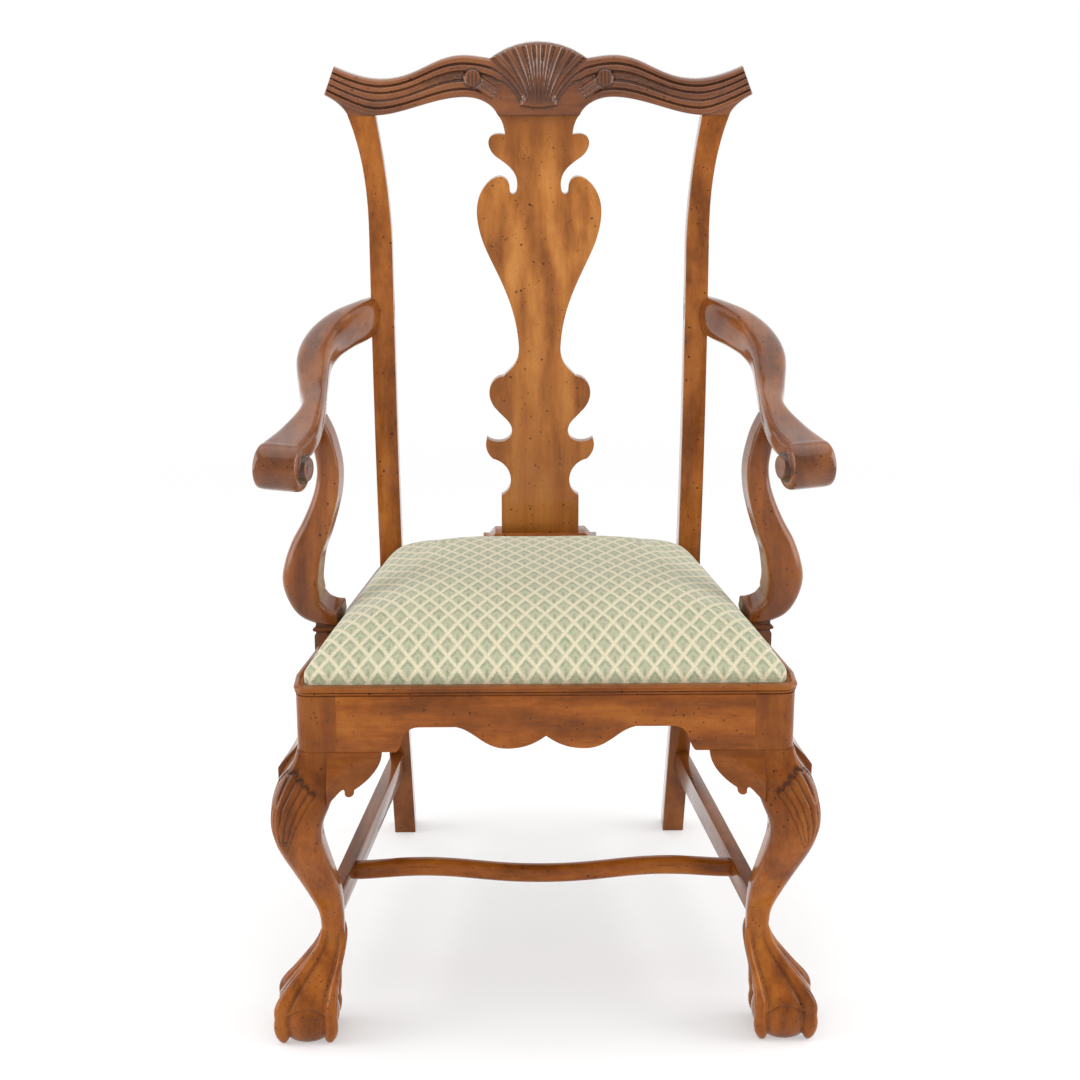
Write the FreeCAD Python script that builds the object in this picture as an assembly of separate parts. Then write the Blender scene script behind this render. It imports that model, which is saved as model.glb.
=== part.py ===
import FreeCAD, Part
import math
import os

# Carved armchair with a vase-shaped splat, cabriole front legs on claw-and-ball feet and a drop-in seat.
# Millimetres, +Z up, +X to the viewer's right, the chair faces -Y. The origin is on the floor under the
# middle of the footprint. While building, Y is the depth behind the front rail's face; each finished
# piece is moved to the origin at the end. Paired pieces are drawn on the +X side and mirrored.

V = FreeCAD.Vector

# Seat frame
FRONT_WIDTH = 545.0         # across the front posts
REAR_WIDTH = 406.0          # across the rear posts at the seat
SEAT_DEPTH = 415.0          # front rail's face to the rear posts' face
RAIL_TOP = 420.0            # height of the seat rails
RAIL_HEIGHT = 75.0
RAIL_THICK = 24.0
LIP = 10.5                  # rim left outside the rebate
REBATE = 12.0               # depth of the rebate that takes the drop-in seat
LEG_POST = 44.0             # square post at the top of a front leg
POST_CORNER = 15.0          # rounding of the front posts' outer corner
QUIRK_DROP = 9.0            # bead along the rails' top edge, cut by a quirk
QUIRK = 1.6
SCALLOP_RISE = 29.0         # how far the front rail's lower edge is cut up
SCALLOP_CUSP = 18.0         # height of the cusp between the two lobes
SCALLOP_END = 164.0         # half-length of the cut
REAR_RAIL_RISE = 12.0       # the rear rail stands above the other rails
REAR_RAIL_SET = 4.0         # and behind the rear posts' face
CLEAT = 14.0                # strip that carries the seat along the rear rail

# Rear posts
POST_WIDTH = 28.0
POST_DEPTH = 38.0
POST_FOOT_DEPTH = 36.0
POST_TOP_DEPTH = 26.0
POST_TOP_WIDTH = 34.0
REAR_RAKE = 105.0           # the foot stands this far behind the seat
BACK_RAKE = 107.0           # the crest stands this far behind the seat
FOOT_INSET = 5.0
POST_LEAN = 7.5             # outward lean up to the flare
POST_FLARE = 26.0           # outward flare under the crest
FLARE_LENGTH = 152.0

# Crest rail, splat and shoe
CREST_BASE = 972.0          # top of the rear posts and of the splat
CREST_HEIGHT = 60.0         # base to the tips of the ears
CREST_THICK = 24.0
CREST_LEAN = 14.0           # how far the crest's face leans back
CREST_BACK_LEAN = 6.0       # and its back
CREST_HALF = 265.0          # half-length over the ears
SHELL_RIBS = 11
SHELL_R = 100.0             # rim of the shell from the point its ribs spread from
SHELL_DROP = 12.0           # that point lies below the crest's base
SHELL_START = 0.28          # share of the radius where the ribs begin
SHELL_FAN = 34.0            # half-angle of the fan in degrees
SHELL_PROUD = 2.0           # how far the ribs' axes stand in front of the crest
SPLAT_HALF = 76.0           # half-width at the splat's shoulders
SPLAT_NECK = 51.0           # half-width where the splat meets the crest
SPLAT_FOOT = 48.5           # half-width where it enters the shoe
SPLAT_THICK = 13.0
SPLAT_SET = 7.0             # splat's face behind the rear posts' face
SHOE_HEIGHT = 30.0
SHOE_HALF = 72.0
SHOE_TOP_HALF = 57.0

# Front legs
KNEE_OUT = 31.0             # knee beyond the post's faces
ANKLE = 26.0                # least thickness
ANKLE_IN = 18.0             # ankle inside the post's faces
FOOT_OUT = 20.0             # centre of the ball outside the post's centre, each way
BALL_R = 36.0
BALL_FLAT = 10.0            # flat worn on the ball's underside
TALON_SPREAD = 40.0         # talon's axis from the ball's centre
TALON_R = 8.5
BRACKET_LENGTH = 49.0
BRACKET_DROP = 42.0
PENDANT_R = 5.0

# Stretchers
STRETCHER_TOP = 140.0
STRETCHER_HEIGHT = 30.0
STRETCHER_THICK = 16.0
MEDIAL_DEPTH = 158.0        # where the cross stretcher meets the side stretchers
MEDIAL_HEIGHT = 21.5
MEDIAL_THICK = 20.0
MEDIAL_BOW = 17.0

# Arms
ARM_REAR_Z = 732.0          # centre of the arm at the rear post
ARM_FRONT_Z = 645.0         # centre of the scroll
ARM_WAIST = 30.0            # width at the waist
ARM_HAND = 50.0             # width of the hand grip
SCROLL_DEPTH = 68.0         # centre of the scroll behind the front rail's face
SCROLL_R = 27.0
SCROLL_EYE = 18.0           # raised disc at the scroll's inner end
EYE_PROUD = 7.0
SUPPORT_DEPTH = 192.0       # centre of the arm support behind the front rail's face
SUPPORT_FOOT = 46.0         # length of its foot along the rail
SUPPORT_LAP = 45.0          # how far it laps down the rail's outer face
SUPPORT_PROUD = 17.0        # thickness of that lap
SUPPORT_NECK = 10.0         # moulded neck between the rail's top and the curved part

# Joinery
TENON = 8.0                 # tenon thickness
TENON_LENGTH = 20.0
TENON_SHOULDER = 12.0       # shoulder above and below a tenon
GLUE_GAP = 0.15             # clearance around tenons, screws and dowels
SCREW_R = 2.2
SCREW_HEAD_R = 4.2
SCREW_HEAD = 3.0
PLUG_LENGTH = 4.0
DOWEL_R = 5.0
DOWEL_LENGTH = 30.0
BLOCK_LEG = 62.0            # corner blocks, along each rail from the corner
BLOCK_HEIGHT = 42.0

# Drop-in seat
SEAT_GAP = 1.2              # between the covered seat and the rebate
COVER = 1.4                 # cloth
BAR_WIDTH = 46.0
BAR_THICK = 19.0
WEB_WIDTH = 50.0
WEB_THICK = 1.2
WEB_END = 12.0              # straps end this far inside the bars' outer edges
PAD_CROWN = 56.0            # pad's crown above the bars
TURN_UNDER = 18.0           # cloth folded under the bars
CORNER_ROUND = 17.0         # plan rounding of the pad's corners
TACK_R = 2.4
TACK_PITCH = 55.0

# Places worked out from the sizes above
RAIL_BASE = RAIL_TOP - RAIL_HEIGHT
LEDGE = RAIL_TOP - REBATE
HALF_FRONT = FRONT_WIDTH / 2
HALF_REAR = REAR_WIDTH / 2
POST_IN = HALF_FRONT - LEG_POST
SEAT_STRAIGHT = RAIL_TOP + 20.0
BALL_X = HALF_FRONT - LEG_POST / 2 + FOOT_OUT
BALL_Y = LEG_POST / 2 - FOOT_OUT
BALL_Z = BALL_R - BALL_FLAT
FOOT_REACH = TALON_SPREAD * math.sqrt(0.5) + TALON_R - BALL_Y
FRONT_Y = -(SEAT_DEPTH + REAR_RAKE + POST_FOOT_DEPTH - FOOT_REACH) / 2
SIDE_SLOPE = (HALF_FRONT - HALF_REAR) / (SEAT_DEPTH - LEG_POST)
SIDE_COS = 1 / math.hypot(1, SIDE_SLOPE)
FAR = 2000.0                # longer than the chair, for cutting solids


# Drawing helpers

def line(a, b):
    return Part.LineSegment(a, b).toShape()


def arc(a, middle, b):
    return Part.Arc(a, middle, b).toShape()


def bezier(*poles):
    curve = Part.BezierCurve()
    curve.setPoles(list(poles))
    return curve.toShape()


def polygon(points):
    return Part.Face(Part.makePolygon(points + points[:1]))


def plate(edges, direction):
    """Solid swept from the closed outline that the edges make."""
    return Part.Face(Part.Wire(edges)).extrude(direction)


def plan_prism(points, low, high):
    """Upright solid on a plan polygon of (x, y) points."""
    return polygon([V(x, y, low) for x, y in points]).extrude(V(0, 0, high - low))


def box(low, high):
    size = [b - a for a, b in zip(low, high)]
    return Part.makeBox(*size, V(*low))


def grown(shape_box, gap):
    """The bounding box of an axis-aligned solid, larger by gap on every side."""
    b = shape_box.BoundBox
    return box((b.XMin - gap, b.YMin - gap, b.ZMin - gap), (b.XMax + gap, b.YMax + gap, b.ZMax + gap))


def rounded_section(centre, side, up, width, height, radius):
    """Closed wire of a rounded rectangle in the plane of side and up."""
    half_w, half_h = width / 2, height / 2
    r = min(radius, 0.98 * half_w, 0.98 * half_h)
    k = r * (1 - math.sqrt(0.5))

    def at(u, w):
        return centre + side * u + up * w

    edges = []
    for turn in ((1, 1), (-1, 1), (-1, -1), (1, -1)):
        sx, sy = turn
        first, last = at(sx * half_w, sy * (half_h - r)), at(sx * (half_w - r), sy * half_h)
        if sx * sy < 0:
            first, last = last, first
        if edges:
            edges.append(line(edges[-1].Vertexes[-1].Point, first))
        edges.append(arc(first, at(sx * (half_w - k), sy * (half_h - k)), last))
    edges.append(line(edges[-1].Vertexes[-1].Point, edges[0].Vertexes[0].Point))
    return Part.Wire(edges)


def swept(stations, roundness):
    """Loft along a path. A station is (centre, width, height); sections stand square to the path."""
    wires = []
    centres = [s[0] for s in stations]
    for i, (centre, width, height) in enumerate(stations):
        ahead = centres[min(i + 1, len(centres) - 1)] - centres[max(i - 1, 0)]
        ahead.normalize()
        side = V(-ahead.y, ahead.x, 0)
        side.normalize()
        up = ahead.cross(side)
        wires.append(rounded_section(centre, side, up, width, height, roundness * min(width, height)))
    return Part.makeLoft(wires, True, False)


def mirrored(shape):
    return shape.mirror(V(0, 0, 0), V(1, 0, 0))


def cubic(t, a, b, c, d):
    return a * (1 - t) ** 3 + 3 * b * t * (1 - t) ** 2 + 3 * c * t ** 2 * (1 - t) + d * t ** 3


def rod(start, direction, length, radius):
    return Part.makeCylinder(radius, length, start, direction)


def screw(start, direction, length):
    """Countersunk wood screw whose head's face lies at start."""
    head = Part.makeCone(SCREW_HEAD_R, SCREW_R, SCREW_HEAD, start, direction)
    return head.fuse(rod(start, direction, length, SCREW_R)).removeSplitter()


def screw_hole(start, direction, length):
    head = Part.makeCone(SCREW_HEAD_R + GLUE_GAP, SCREW_R + GLUE_GAP, SCREW_HEAD, start, direction)
    return head.fuse(rod(start, direction, length + GLUE_GAP, SCREW_R + GLUE_GAP)).removeSplitter()


# Seat plan

def side_x(depth, inward=0.0):
    """Half-width of the seat frame at a depth, to a face lying inward of the outer face."""
    return HALF_FRONT - SIDE_SLOPE * (depth - LEG_POST) - inward / SIDE_COS


def seat_plan(front, side, rear):
    """Plan corners of a shape held the given distances inside the front, side and rear of the frame."""
    back = SEAT_DEPTH - rear
    return [(side_x(front, side), front), (side_x(back, side), back),
            (-side_x(back, side), back), (-side_x(front, side), front)]


def seat_pocket():
    """Space above the ledge that the drop-in seat fills."""
    return plan_prism(seat_plan(LIP, LIP, -2 * POST_DEPTH), LEDGE, LEDGE + FAR)


def frame_outline(inward):
    """Plan face of the seat frame's outer edge, with rounded front corners."""
    x, r = HALF_FRONT - inward, POST_CORNER - inward
    k = r * (1 - math.sqrt(0.5))
    back = SEAT_DEPTH
    rear_x = side_x(back, inward)
    edges = [line(V(-x + r, inward, 0), V(x - r, inward, 0)),
             arc(V(x - r, inward, 0), V(x - k, inward + k, 0), V(x, inward + r, 0)),
             line(V(x, inward + r, 0), V(x, LEG_POST, 0)),
             line(V(x, LEG_POST, 0), V(rear_x, back, 0)),
             line(V(rear_x, back, 0), V(-rear_x, back, 0)),
             line(V(-rear_x, back, 0), V(-x, LEG_POST, 0)),
             line(V(-x, LEG_POST, 0), V(-x, inward + r, 0)),
             arc(V(-x, inward + r, 0), V(-x + k, inward + k, 0), V(-x + r, inward, 0))]
    return Part.Face(Part.Wire(edges))


def quirk_ring():
    """Thin groove round the front and sides of the seat frame, under the bead."""
    low = RAIL_TOP - QUIRK_DROP - QUIRK / 2
    ring = frame_outline(0).cut(frame_outline(QUIRK))
    return ring.extrude(V(0, 0, QUIRK)).translated(V(0, 0, low))


# Back: rear posts, crest, splat and shoe

def back_depth(z):
    """Depth of the rear posts' front face at a height."""
    if z < RAIL_BASE:
        return SEAT_DEPTH + REAR_RAKE * cubic(z / RAIL_BASE, 1, 0.67, 0, 0)
    if z < SEAT_STRAIGHT:
        return SEAT_DEPTH
    t = (z - SEAT_STRAIGHT) / (CREST_BASE - SEAT_STRAIGHT)
    return SEAT_DEPTH + BACK_RAKE * cubic(t, 0, 0, 0.5, 1)


def lean_share(z):
    """Share of the rear post's outward lean that it has at a height below the flare."""
    return (z - SEAT_STRAIGHT) / (CREST_BASE - FLARE_LENGTH - SEAT_STRAIGHT)


def upper_curve(offset_low, offset_high):
    """Curve of the back above the seat, shifted back by offsets at its two ends."""
    poles = []
    for i, share in enumerate((0, 0, 0.5, 1)):
        offset = offset_low + (offset_high - offset_low) * i / 3
        z = SEAT_STRAIGHT + (CREST_BASE - SEAT_STRAIGHT) * i / 3
        poles.append(V(0, SEAT_DEPTH + BACK_RAKE * share + offset, z))
    return poles


def lower_curve(offset_low, offset_high):
    """Curve of the rear leg below the seat, from the floor up."""
    poles = []
    for i, share in enumerate((1, 0.67, 0, 0)):
        offset = offset_low + (offset_high - offset_low) * i / 3
        poles.append(V(0, SEAT_DEPTH + REAR_RAKE * share + offset, RAIL_BASE * i / 3))
    return poles


def rear_post_body():
    front_low, back_low = lower_curve(0, 0), lower_curve(POST_FOOT_DEPTH, POST_DEPTH)
    front_up, back_up = upper_curve(0, 0), upper_curve(POST_DEPTH, POST_TOP_DEPTH)
    side_view = plate([line(front_low[0], back_low[0]), bezier(*back_low), line(back_low[-1], back_up[0]),
                       bezier(*back_up), line(back_up[-1], front_up[-1]), bezier(*reversed(front_up)),
                       line(front_up[0], front_low[-1]), bezier(*reversed(front_low))], V(FAR, 0, 0))
    flare_z = CREST_BASE - FLARE_LENGTH
    lean_x, top_x = HALF_REAR + POST_LEAN, HALF_REAR + POST_LEAN + POST_FLARE
    outer = [V(lean_x + POST_FLARE * share, 0, flare_z + FLARE_LENGTH * i / 3)
             for i, share in enumerate((0, 0.02, 0.18, 1))]
    inner = [V(lean_x - POST_WIDTH, 0, flare_z), V(lean_x - POST_WIDTH + 0.08 * POST_FLARE, 0, outer[1].z),
             V(lean_x - POST_WIDTH + 0.38 * POST_FLARE, 0, outer[2].z),
             V(top_x - POST_TOP_WIDTH, 0, CREST_BASE)]
    foot_out, foot_in = HALF_REAR - FOOT_INSET, HALF_REAR - FOOT_INSET - POST_WIDTH
    seat_in = HALF_REAR - POST_WIDTH
    front_view = plate([line(V(foot_in, 0, 0), V(foot_out, 0, 0)),
                        line(V(foot_out, 0, 0), V(HALF_REAR, 0, RAIL_BASE)),
                        line(V(HALF_REAR, 0, RAIL_BASE), V(HALF_REAR, 0, SEAT_STRAIGHT)),
                        line(V(HALF_REAR, 0, SEAT_STRAIGHT), outer[0]), bezier(*outer),
                        line(outer[-1], inner[-1]), bezier(*reversed(inner)),
                        line(inner[0], V(seat_in, 0, SEAT_STRAIGHT)),
                        line(V(seat_in, 0, SEAT_STRAIGHT), V(seat_in, 0, RAIL_BASE)),
                        line(V(seat_in, 0, RAIL_BASE), V(foot_in, 0, 0))], V(0, FAR, 0))
    return side_view.common(front_view)


def crest_face(z):
    """Depth of the crest's leaning front face at a height."""
    return SEAT_DEPTH + BACK_RAKE + CREST_LEAN * (z - CREST_BASE) / CREST_HEIGHT


def crest_back(z):
    return SEAT_DEPTH + BACK_RAKE + CREST_THICK + CREST_BACK_LEAN * (z - CREST_BASE) / CREST_HEIGHT


def crest_body():
    post_out = HALF_REAR + POST_LEAN + POST_FLARE
    post_in = post_out - POST_TOP_WIDTH

    def p(x, rise):
        return V(x, 0, CREST_BASE + rise * CREST_HEIGHT)

    def q(across, rise):
        return p(across * CREST_HALF, rise)

    def upper():
        """Upper edge from the middle to the right ear."""
        return [bezier(q(0, 1.05), q(0.2, 1.05), q(0.27, 1.2), q(0.36, 1.19)),
                bezier(q(0.36, 1.19), q(0.5, 1.17), q(0.57, 0.72), q(0.735, 0.72)),
                bezier(q(0.735, 0.72), q(0.81, 0.72), q(0.89, 0.84), q(0.955, 0.97))]

    def ear():
        """Ear's end and lower edge, down to the rear post and on to the splat."""
        return [line(q(0.955, 0.97), q(1, 0.42)),
                bezier(q(1, 0.42), q(0.95, 0.3), p(post_out + 4, 0.15), p(post_out, 0)),
                line(p(post_out, 0), p(post_in, 0)),
                bezier(p(post_in, 0), q(0.64, 0), q(0.49, 0.36), q(0.347, 0.36)),
                bezier(q(0.347, 0.36), q(0.27, 0.36), p(SPLAT_NECK + 5, 0.2), p(SPLAT_NECK, 0))]

    right = upper() + ear()
    edges = right + [mirrored(e) for e in right] + [line(p(SPLAT_NECK, 0), p(-SPLAT_NECK, 0))]
    outline = Part.Wire(Part.__sortEdges__(edges))
    top = CREST_BASE + 1.5 * CREST_HEIGHT
    corners = [V(0, crest_face(CREST_BASE), CREST_BASE), V(0, crest_face(top), top),
               V(0, crest_back(top), top), V(0, crest_back(CREST_BASE), CREST_BASE)]
    slab = polygon(corners).extrude(V(2 * FAR, 0, 0)).translated(V(-FAR, 0, 0))
    return Part.Face(outline).extrude(V(0, FAR, 0)).common(slab)


def shell():
    """Fan of ribs that spread from a point below the crest's base."""
    step = 2 * SHELL_FAN / (SHELL_RIBS - 1)
    rim_r = 1.1 * SHELL_R * math.tan(math.radians(step / 2))
    fan = None
    for i in range(SHELL_RIBS):
        angle = math.radians(-SHELL_FAN + i * step)

        def at(radius):
            z = CREST_BASE - SHELL_DROP + radius * math.cos(angle)
            return V(radius * math.sin(angle), crest_face(z) - SHELL_PROUD, z)

        near, far = at(SHELL_START * SHELL_R), at(SHELL_R - rim_r)
        rib = Part.makeCone(SHELL_START * rim_r, rim_r, (far - near).Length, near, far - near)
        rib = rib.fuse(Part.makeSphere(rim_r, far))
        fan = rib if fan is None else fan.fuse(rib)
    return fan


def splat_face(z):
    return back_depth(z) + SPLAT_SET


def splat_outline():
    """Right-hand edge of the vase-shaped splat, from its top down, then across its foot."""
    low = RAIL_TOP + REAR_RAIL_RISE + SHOE_HEIGHT
    span = CREST_BASE - low

    def p(x, share):
        return V(x, 0, low + span * share)

    def q(across, share):
        return p(across * SPLAT_HALF, share)

    right = [
        bezier(p(SPLAT_NECK, 1.0), p(0.9 * SPLAT_NECK, 0.99), q(0.57, 0.976), q(0.55, 0.954)),
        bezier(q(0.55, 0.954), q(0.92, 0.966), q(0.87, 0.917), q(0.66, 0.899)),
        bezier(q(0.66, 0.899), q(0.47, 0.88), q(0.33, 0.865), q(0.36, 0.829)),
        bezier(q(0.36, 0.829), q(0.375, 0.812), q(0.475, 0.812), q(0.48, 0.826)),
        bezier(q(0.48, 0.826), q(0.475, 0.865), q(0.74, 0.867), q(0.91, 0.829)),
        bezier(q(0.91, 0.829), q(1.05, 0.8), q(1.05, 0.761), q(0.935, 0.71)),
        bezier(q(0.935, 0.71), q(0.79, 0.648), q(0.37, 0.57), q(0.34, 0.453)),
        bezier(q(0.34, 0.453), q(0.34, 0.414), q(0.5, 0.402), q(0.59, 0.387)),
        bezier(q(0.59, 0.387), q(0.815, 0.385), q(0.91, 0.346), q(0.75, 0.314)),
        bezier(q(0.75, 0.314), q(0.62, 0.289), q(0.46, 0.279), q(0.46, 0.255)),
        bezier(q(0.46, 0.255), q(0.475, 0.225), q(0.74, 0.222), q(0.87, 0.238)),
        bezier(q(0.87, 0.238), q(0.935, 0.212), q(0.83, 0.194), q(0.775, 0.187)),
        bezier(q(0.775, 0.187), q(0.435, 0.175), p(0.62 * SPLAT_FOOT, 0.112), p(SPLAT_FOOT, 0.095)),
        line(p(SPLAT_FOOT, 0.095), p(SPLAT_FOOT, 0)),
    ]
    left = [mirrored(e) for e in right]
    ends = [line(p(SPLAT_FOOT, 0), p(-SPLAT_FOOT, 0)), line(p(SPLAT_NECK, 1), p(-SPLAT_NECK, 1))]
    return Part.Wire(Part.__sortEdges__(right + left + ends))


def splat_slab(thick):
    front, back = upper_curve(SPLAT_SET, SPLAT_SET), upper_curve(SPLAT_SET + thick, SPLAT_SET + thick)
    side_view = [line(front[0], back[0]), bezier(*back), line(back[-1], front[-1]), bezier(*reversed(front))]
    return plate(side_view, V(2 * FAR, 0, 0)).translated(V(-FAR, 0, 0))


def splat_body():
    return Part.Face(splat_outline()).extrude(V(0, FAR, 0)).common(splat_slab(SPLAT_THICK))


def splat_tenons():
    """Tongues that enter the shoe and the crest."""
    low = RAIL_TOP + REAR_RAIL_RISE + SHOE_HEIGHT
    inset = (SPLAT_THICK - TENON) / 2
    foot_y, head_y = splat_face(low) + inset, splat_face(CREST_BASE) + inset
    foot = box((-SPLAT_NECK + TENON_SHOULDER, foot_y, low - TENON_LENGTH),
               (SPLAT_NECK - TENON_SHOULDER, foot_y + TENON, low))
    head = box((-SPLAT_NECK + TENON_SHOULDER, head_y, CREST_BASE),
               (SPLAT_NECK - TENON_SHOULDER, head_y + TENON, CREST_BASE + TENON_LENGTH))
    return foot, head


def shoe_body():
    """Stepped block on the rear rail that takes the foot of the splat."""
    low = RAIL_TOP + REAR_RAIL_RISE
    high = low + SHOE_HEIGHT
    front, back = SEAT_DEPTH + REAR_RAIL_SET, SEAT_DEPTH + POST_DEPTH
    step = low + 0.72 * SHOE_HEIGHT
    waist = (SHOE_HALF + SHOE_TOP_HALF) / 2
    right = [V(SHOE_HALF, 0, low), V(SHOE_HALF, 0, step), V(waist, 0, step), V(SHOE_TOP_HALF, 0, high)]
    left = [V(-p.x, 0, p.z) for p in reversed(right)]
    return polygon(right + left).extrude(V(0, back - front, 0)).translated(V(0, front, 0))


# Front legs and knee brackets

def leg_sections():
    """(height, reach outside the post's outer faces, inner edge inside them) up the cabriole leg."""
    base = RAIL_BASE
    in_edge = ANKLE_IN + ANKLE
    foot_top = 0.164 * base
    return [(foot_top, 0.8 * KNEE_OUT, LEG_POST - 7), (0.21 * base, 0.4 * KNEE_OUT, LEG_POST - 7),
            (0.265 * base, -0.42 * ANKLE_IN, LEG_POST - 3), (0.33 * base, -ANKLE_IN, in_edge),
            (0.405 * base, -0.86 * ANKLE_IN, in_edge), (0.487 * base, -0.28 * ANKLE_IN, 0.96 * LEG_POST),
            (0.575 * base, 0.26 * KNEE_OUT, 0.82 * LEG_POST), (0.65 * base, 0.63 * KNEE_OUT, 0.69 * LEG_POST),
            (0.72 * base, 0.9 * KNEE_OUT, 0.6 * LEG_POST), (0.777 * base, KNEE_OUT, 0.64 * LEG_POST),
            (0.84 * base, 0.93 * KNEE_OUT, 0.84 * LEG_POST), (0.907 * base, 0.6 * KNEE_OUT, 0.97 * LEG_POST),
            (0.965 * base, 0.16 * KNEE_OUT, LEG_POST), (base, 0.02 * KNEE_OUT, LEG_POST)]


def leg_shaft():
    wires = []
    for z, out, inner in leg_sections():
        size = out + inner
        low_x, low_y = HALF_FRONT - inner, -out
        centre = V(low_x + size / 2, low_y + size / 2, z)
        wires.append(rounded_section(centre, V(1, 0, 0), V(0, 1, 0), size, size, 0.3 * size))
    return Part.makeLoft(wires, True, False)


def talon(angle):
    """One claw, from the ankle over the ball to the floor."""
    ankle_z = 0.3 * RAIL_BASE
    ankle_x = HALF_FRONT - ANKLE_IN - ANKLE / 2
    shape = ((0.2, ankle_z, 0.6), (0.5, 0.8 * ankle_z, 0.85), (0.8, 0.6 * ankle_z, 1.0),
             (0.97, 0.42 * ankle_z, 1.0), (1.0, 0.25 * ankle_z, 1.0), (0.94, 0.09 * ankle_z, 0.85),
             (0.86, 0.02 * ankle_z, 0.6))
    wires = []
    direction = V(math.cos(angle), math.sin(angle), 0)
    for i, (share, z, girth) in enumerate(shape):
        ahead, behind = shape[min(i + 1, len(shape) - 1)], shape[max(i - 1, 0)]
        run = direction * (TALON_SPREAD * (ahead[0] - behind[0])) + V(0, 0, ahead[1] - behind[1])
        lean = (BALL_X - ankle_x) * max(0.0, (z - BALL_R) / (ankle_z - BALL_R))
        centre = V(BALL_X - lean, BALL_Y + lean, z) + direction * (TALON_SPREAD * share)
        wires.append(Part.Wire(Part.makeCircle(TALON_R * girth, centre, run)))
    return Part.makeLoft(wires, True, False)


def front_post():
    """Square post of the leg between the rails, with its outer corner rounded."""
    inner = box((POST_IN, 0, RAIL_BASE), (HALF_FRONT, LEG_POST, RAIL_TOP))
    rounded = frame_outline(0).extrude(V(0, 0, RAIL_TOP)).common(inner)
    return rounded


def front_leg_body():
    leg = leg_shaft().fuse(front_post())
    leg = leg.fuse(Part.makeSphere(BALL_R, V(BALL_X, BALL_Y, BALL_Z)))
    for quarter in range(4):
        leg = leg.fuse(talon(math.radians(45 + 90 * quarter)))
    floor = box((-FAR, -FAR, -FAR), (FAR, FAR, 0))
    return leg.cut(floor)


def bracket_front(leg):
    """Knee bracket under the front rail, with a pendant, scribed to the leg."""
    near, far = POST_IN + 0.25 * LEG_POST, POST_IN - BRACKET_LENGTH
    top, tip = RAIL_BASE, RAIL_BASE - BRACKET_DROP
    low = tip - 2 * PENDANT_R
    drop_x = POST_IN - 2.6 * PENDANT_R
    left, right = drop_x - PENDANT_R, drop_x + PENDANT_R
    back = RAIL_THICK
    start, knee = -0.02 * KNEE_OUT, -0.8 * KNEE_OUT

    def p(x, z):
        return V(x, -FAR, z)

    belly = p(left - 0.25 * BRACKET_LENGTH, tip + 6)
    heel = p(POST_IN, tip - 4)
    shoulder = tip - PENDANT_R / 2
    outline = plate([line(p(near, top), p(far, top)),
                     bezier(p(far, top), p(far, top - 0.45 * BRACKET_DROP), belly, p(left, tip)),
                     line(p(left, tip), p(left, shoulder)),
                     arc(p(left, shoulder), p(drop_x, tip - 1.5 * PENDANT_R), p(right, shoulder)),
                     line(p(right, shoulder), p(right, tip)),
                     bezier(p(right, tip), p(right + 0.4 * PENDANT_R, tip + 8), heel, p(near, low)),
                     line(p(near, low), p(near, top))], V(0, 2 * FAR, 0))
    plan = plate([bezier(V(near, knee, 0), V(POST_IN - PENDANT_R, -0.25 * KNEE_OUT, 0),
                         V(far + 0.4 * BRACKET_LENGTH, -0.06 * KNEE_OUT, 0), V(far, start, 0)),
                  line(V(far, start, 0), V(far, back, 0)),
                  line(V(far, back, 0), V(near, back, 0)),
                  line(V(near, back, 0), V(near, knee, 0))], V(0, 0, FAR))
    side = plate([bezier(V(0, start, top), V(0, -0.2 * KNEE_OUT, top - 0.38 * BRACKET_DROP),
                         V(0, -KNEE_OUT, tip + 0.33 * BRACKET_DROP), V(0, -KNEE_OUT, low)),
                  line(V(0, -KNEE_OUT, low), V(0, back, low)),
                  line(V(0, back, low), V(0, back, top)),
                  line(V(0, back, top), V(0, start, top))], V(FAR, 0, 0))
    return outline.common(plan).common(side).cut(leg)


def bracket_side(front_bracket):
    """The same bracket turned under the side rail, by reflection in the leg's diagonal."""
    corner = V(HALF_FRONT, 0, 0)
    return front_bracket.mirror(corner, V(1, 1, 0))


# Seat rails, blocks and cleat

def front_rail_body():
    half = POST_IN

    def p(x, z):
        return V(x, 0, RAIL_BASE + z)

    def q(across, share):
        return p(across * SCALLOP_END, share * SCALLOP_RISE)

    lower = [line(p(half, 0), q(1, 0)),
             bezier(q(1, 0), q(0.94, 0.3), q(0.97, 0.95), q(0.85, 1)),
             line(q(0.85, 1), q(0.6, 1)),
             bezier(q(0.6, 1), q(0.47, 0.85), q(0.42, 0.11), q(0.26, 0.11)),
             bezier(q(0.26, 0.11), q(0.13, 0.11), p(0.06 * SCALLOP_END, 0.6 * SCALLOP_CUSP),
                    p(0, SCALLOP_CUSP))]
    ends = [line(p(half, 0), p(half, RAIL_HEIGHT)), line(p(-half, 0), p(-half, RAIL_HEIGHT)),
            line(p(half, RAIL_HEIGHT), p(-half, RAIL_HEIGHT))]
    edges = lower + [mirrored(e) for e in lower] + ends
    return plate(Part.__sortEdges__(edges), V(0, RAIL_THICK, 0))


def side_rail_body():
    inner_f, inner_r = side_x(LEG_POST, RAIL_THICK), side_x(SEAT_DEPTH, RAIL_THICK)
    plan = [(HALF_FRONT, LEG_POST), (HALF_REAR, SEAT_DEPTH), (inner_r, SEAT_DEPTH), (inner_f, LEG_POST)]
    return plan_prism(plan, RAIL_BASE, RAIL_TOP)


def rear_rail_body():
    half = HALF_REAR - POST_WIDTH
    front, back = SEAT_DEPTH + REAR_RAIL_SET, SEAT_DEPTH + POST_DEPTH - REAR_RAIL_SET
    return box((-half, front, RAIL_BASE), (half, back, RAIL_TOP + REAR_RAIL_RISE))


def tenon_heights():
    return RAIL_BASE + TENON_SHOULDER, LEDGE - TENON_SHOULDER


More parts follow.
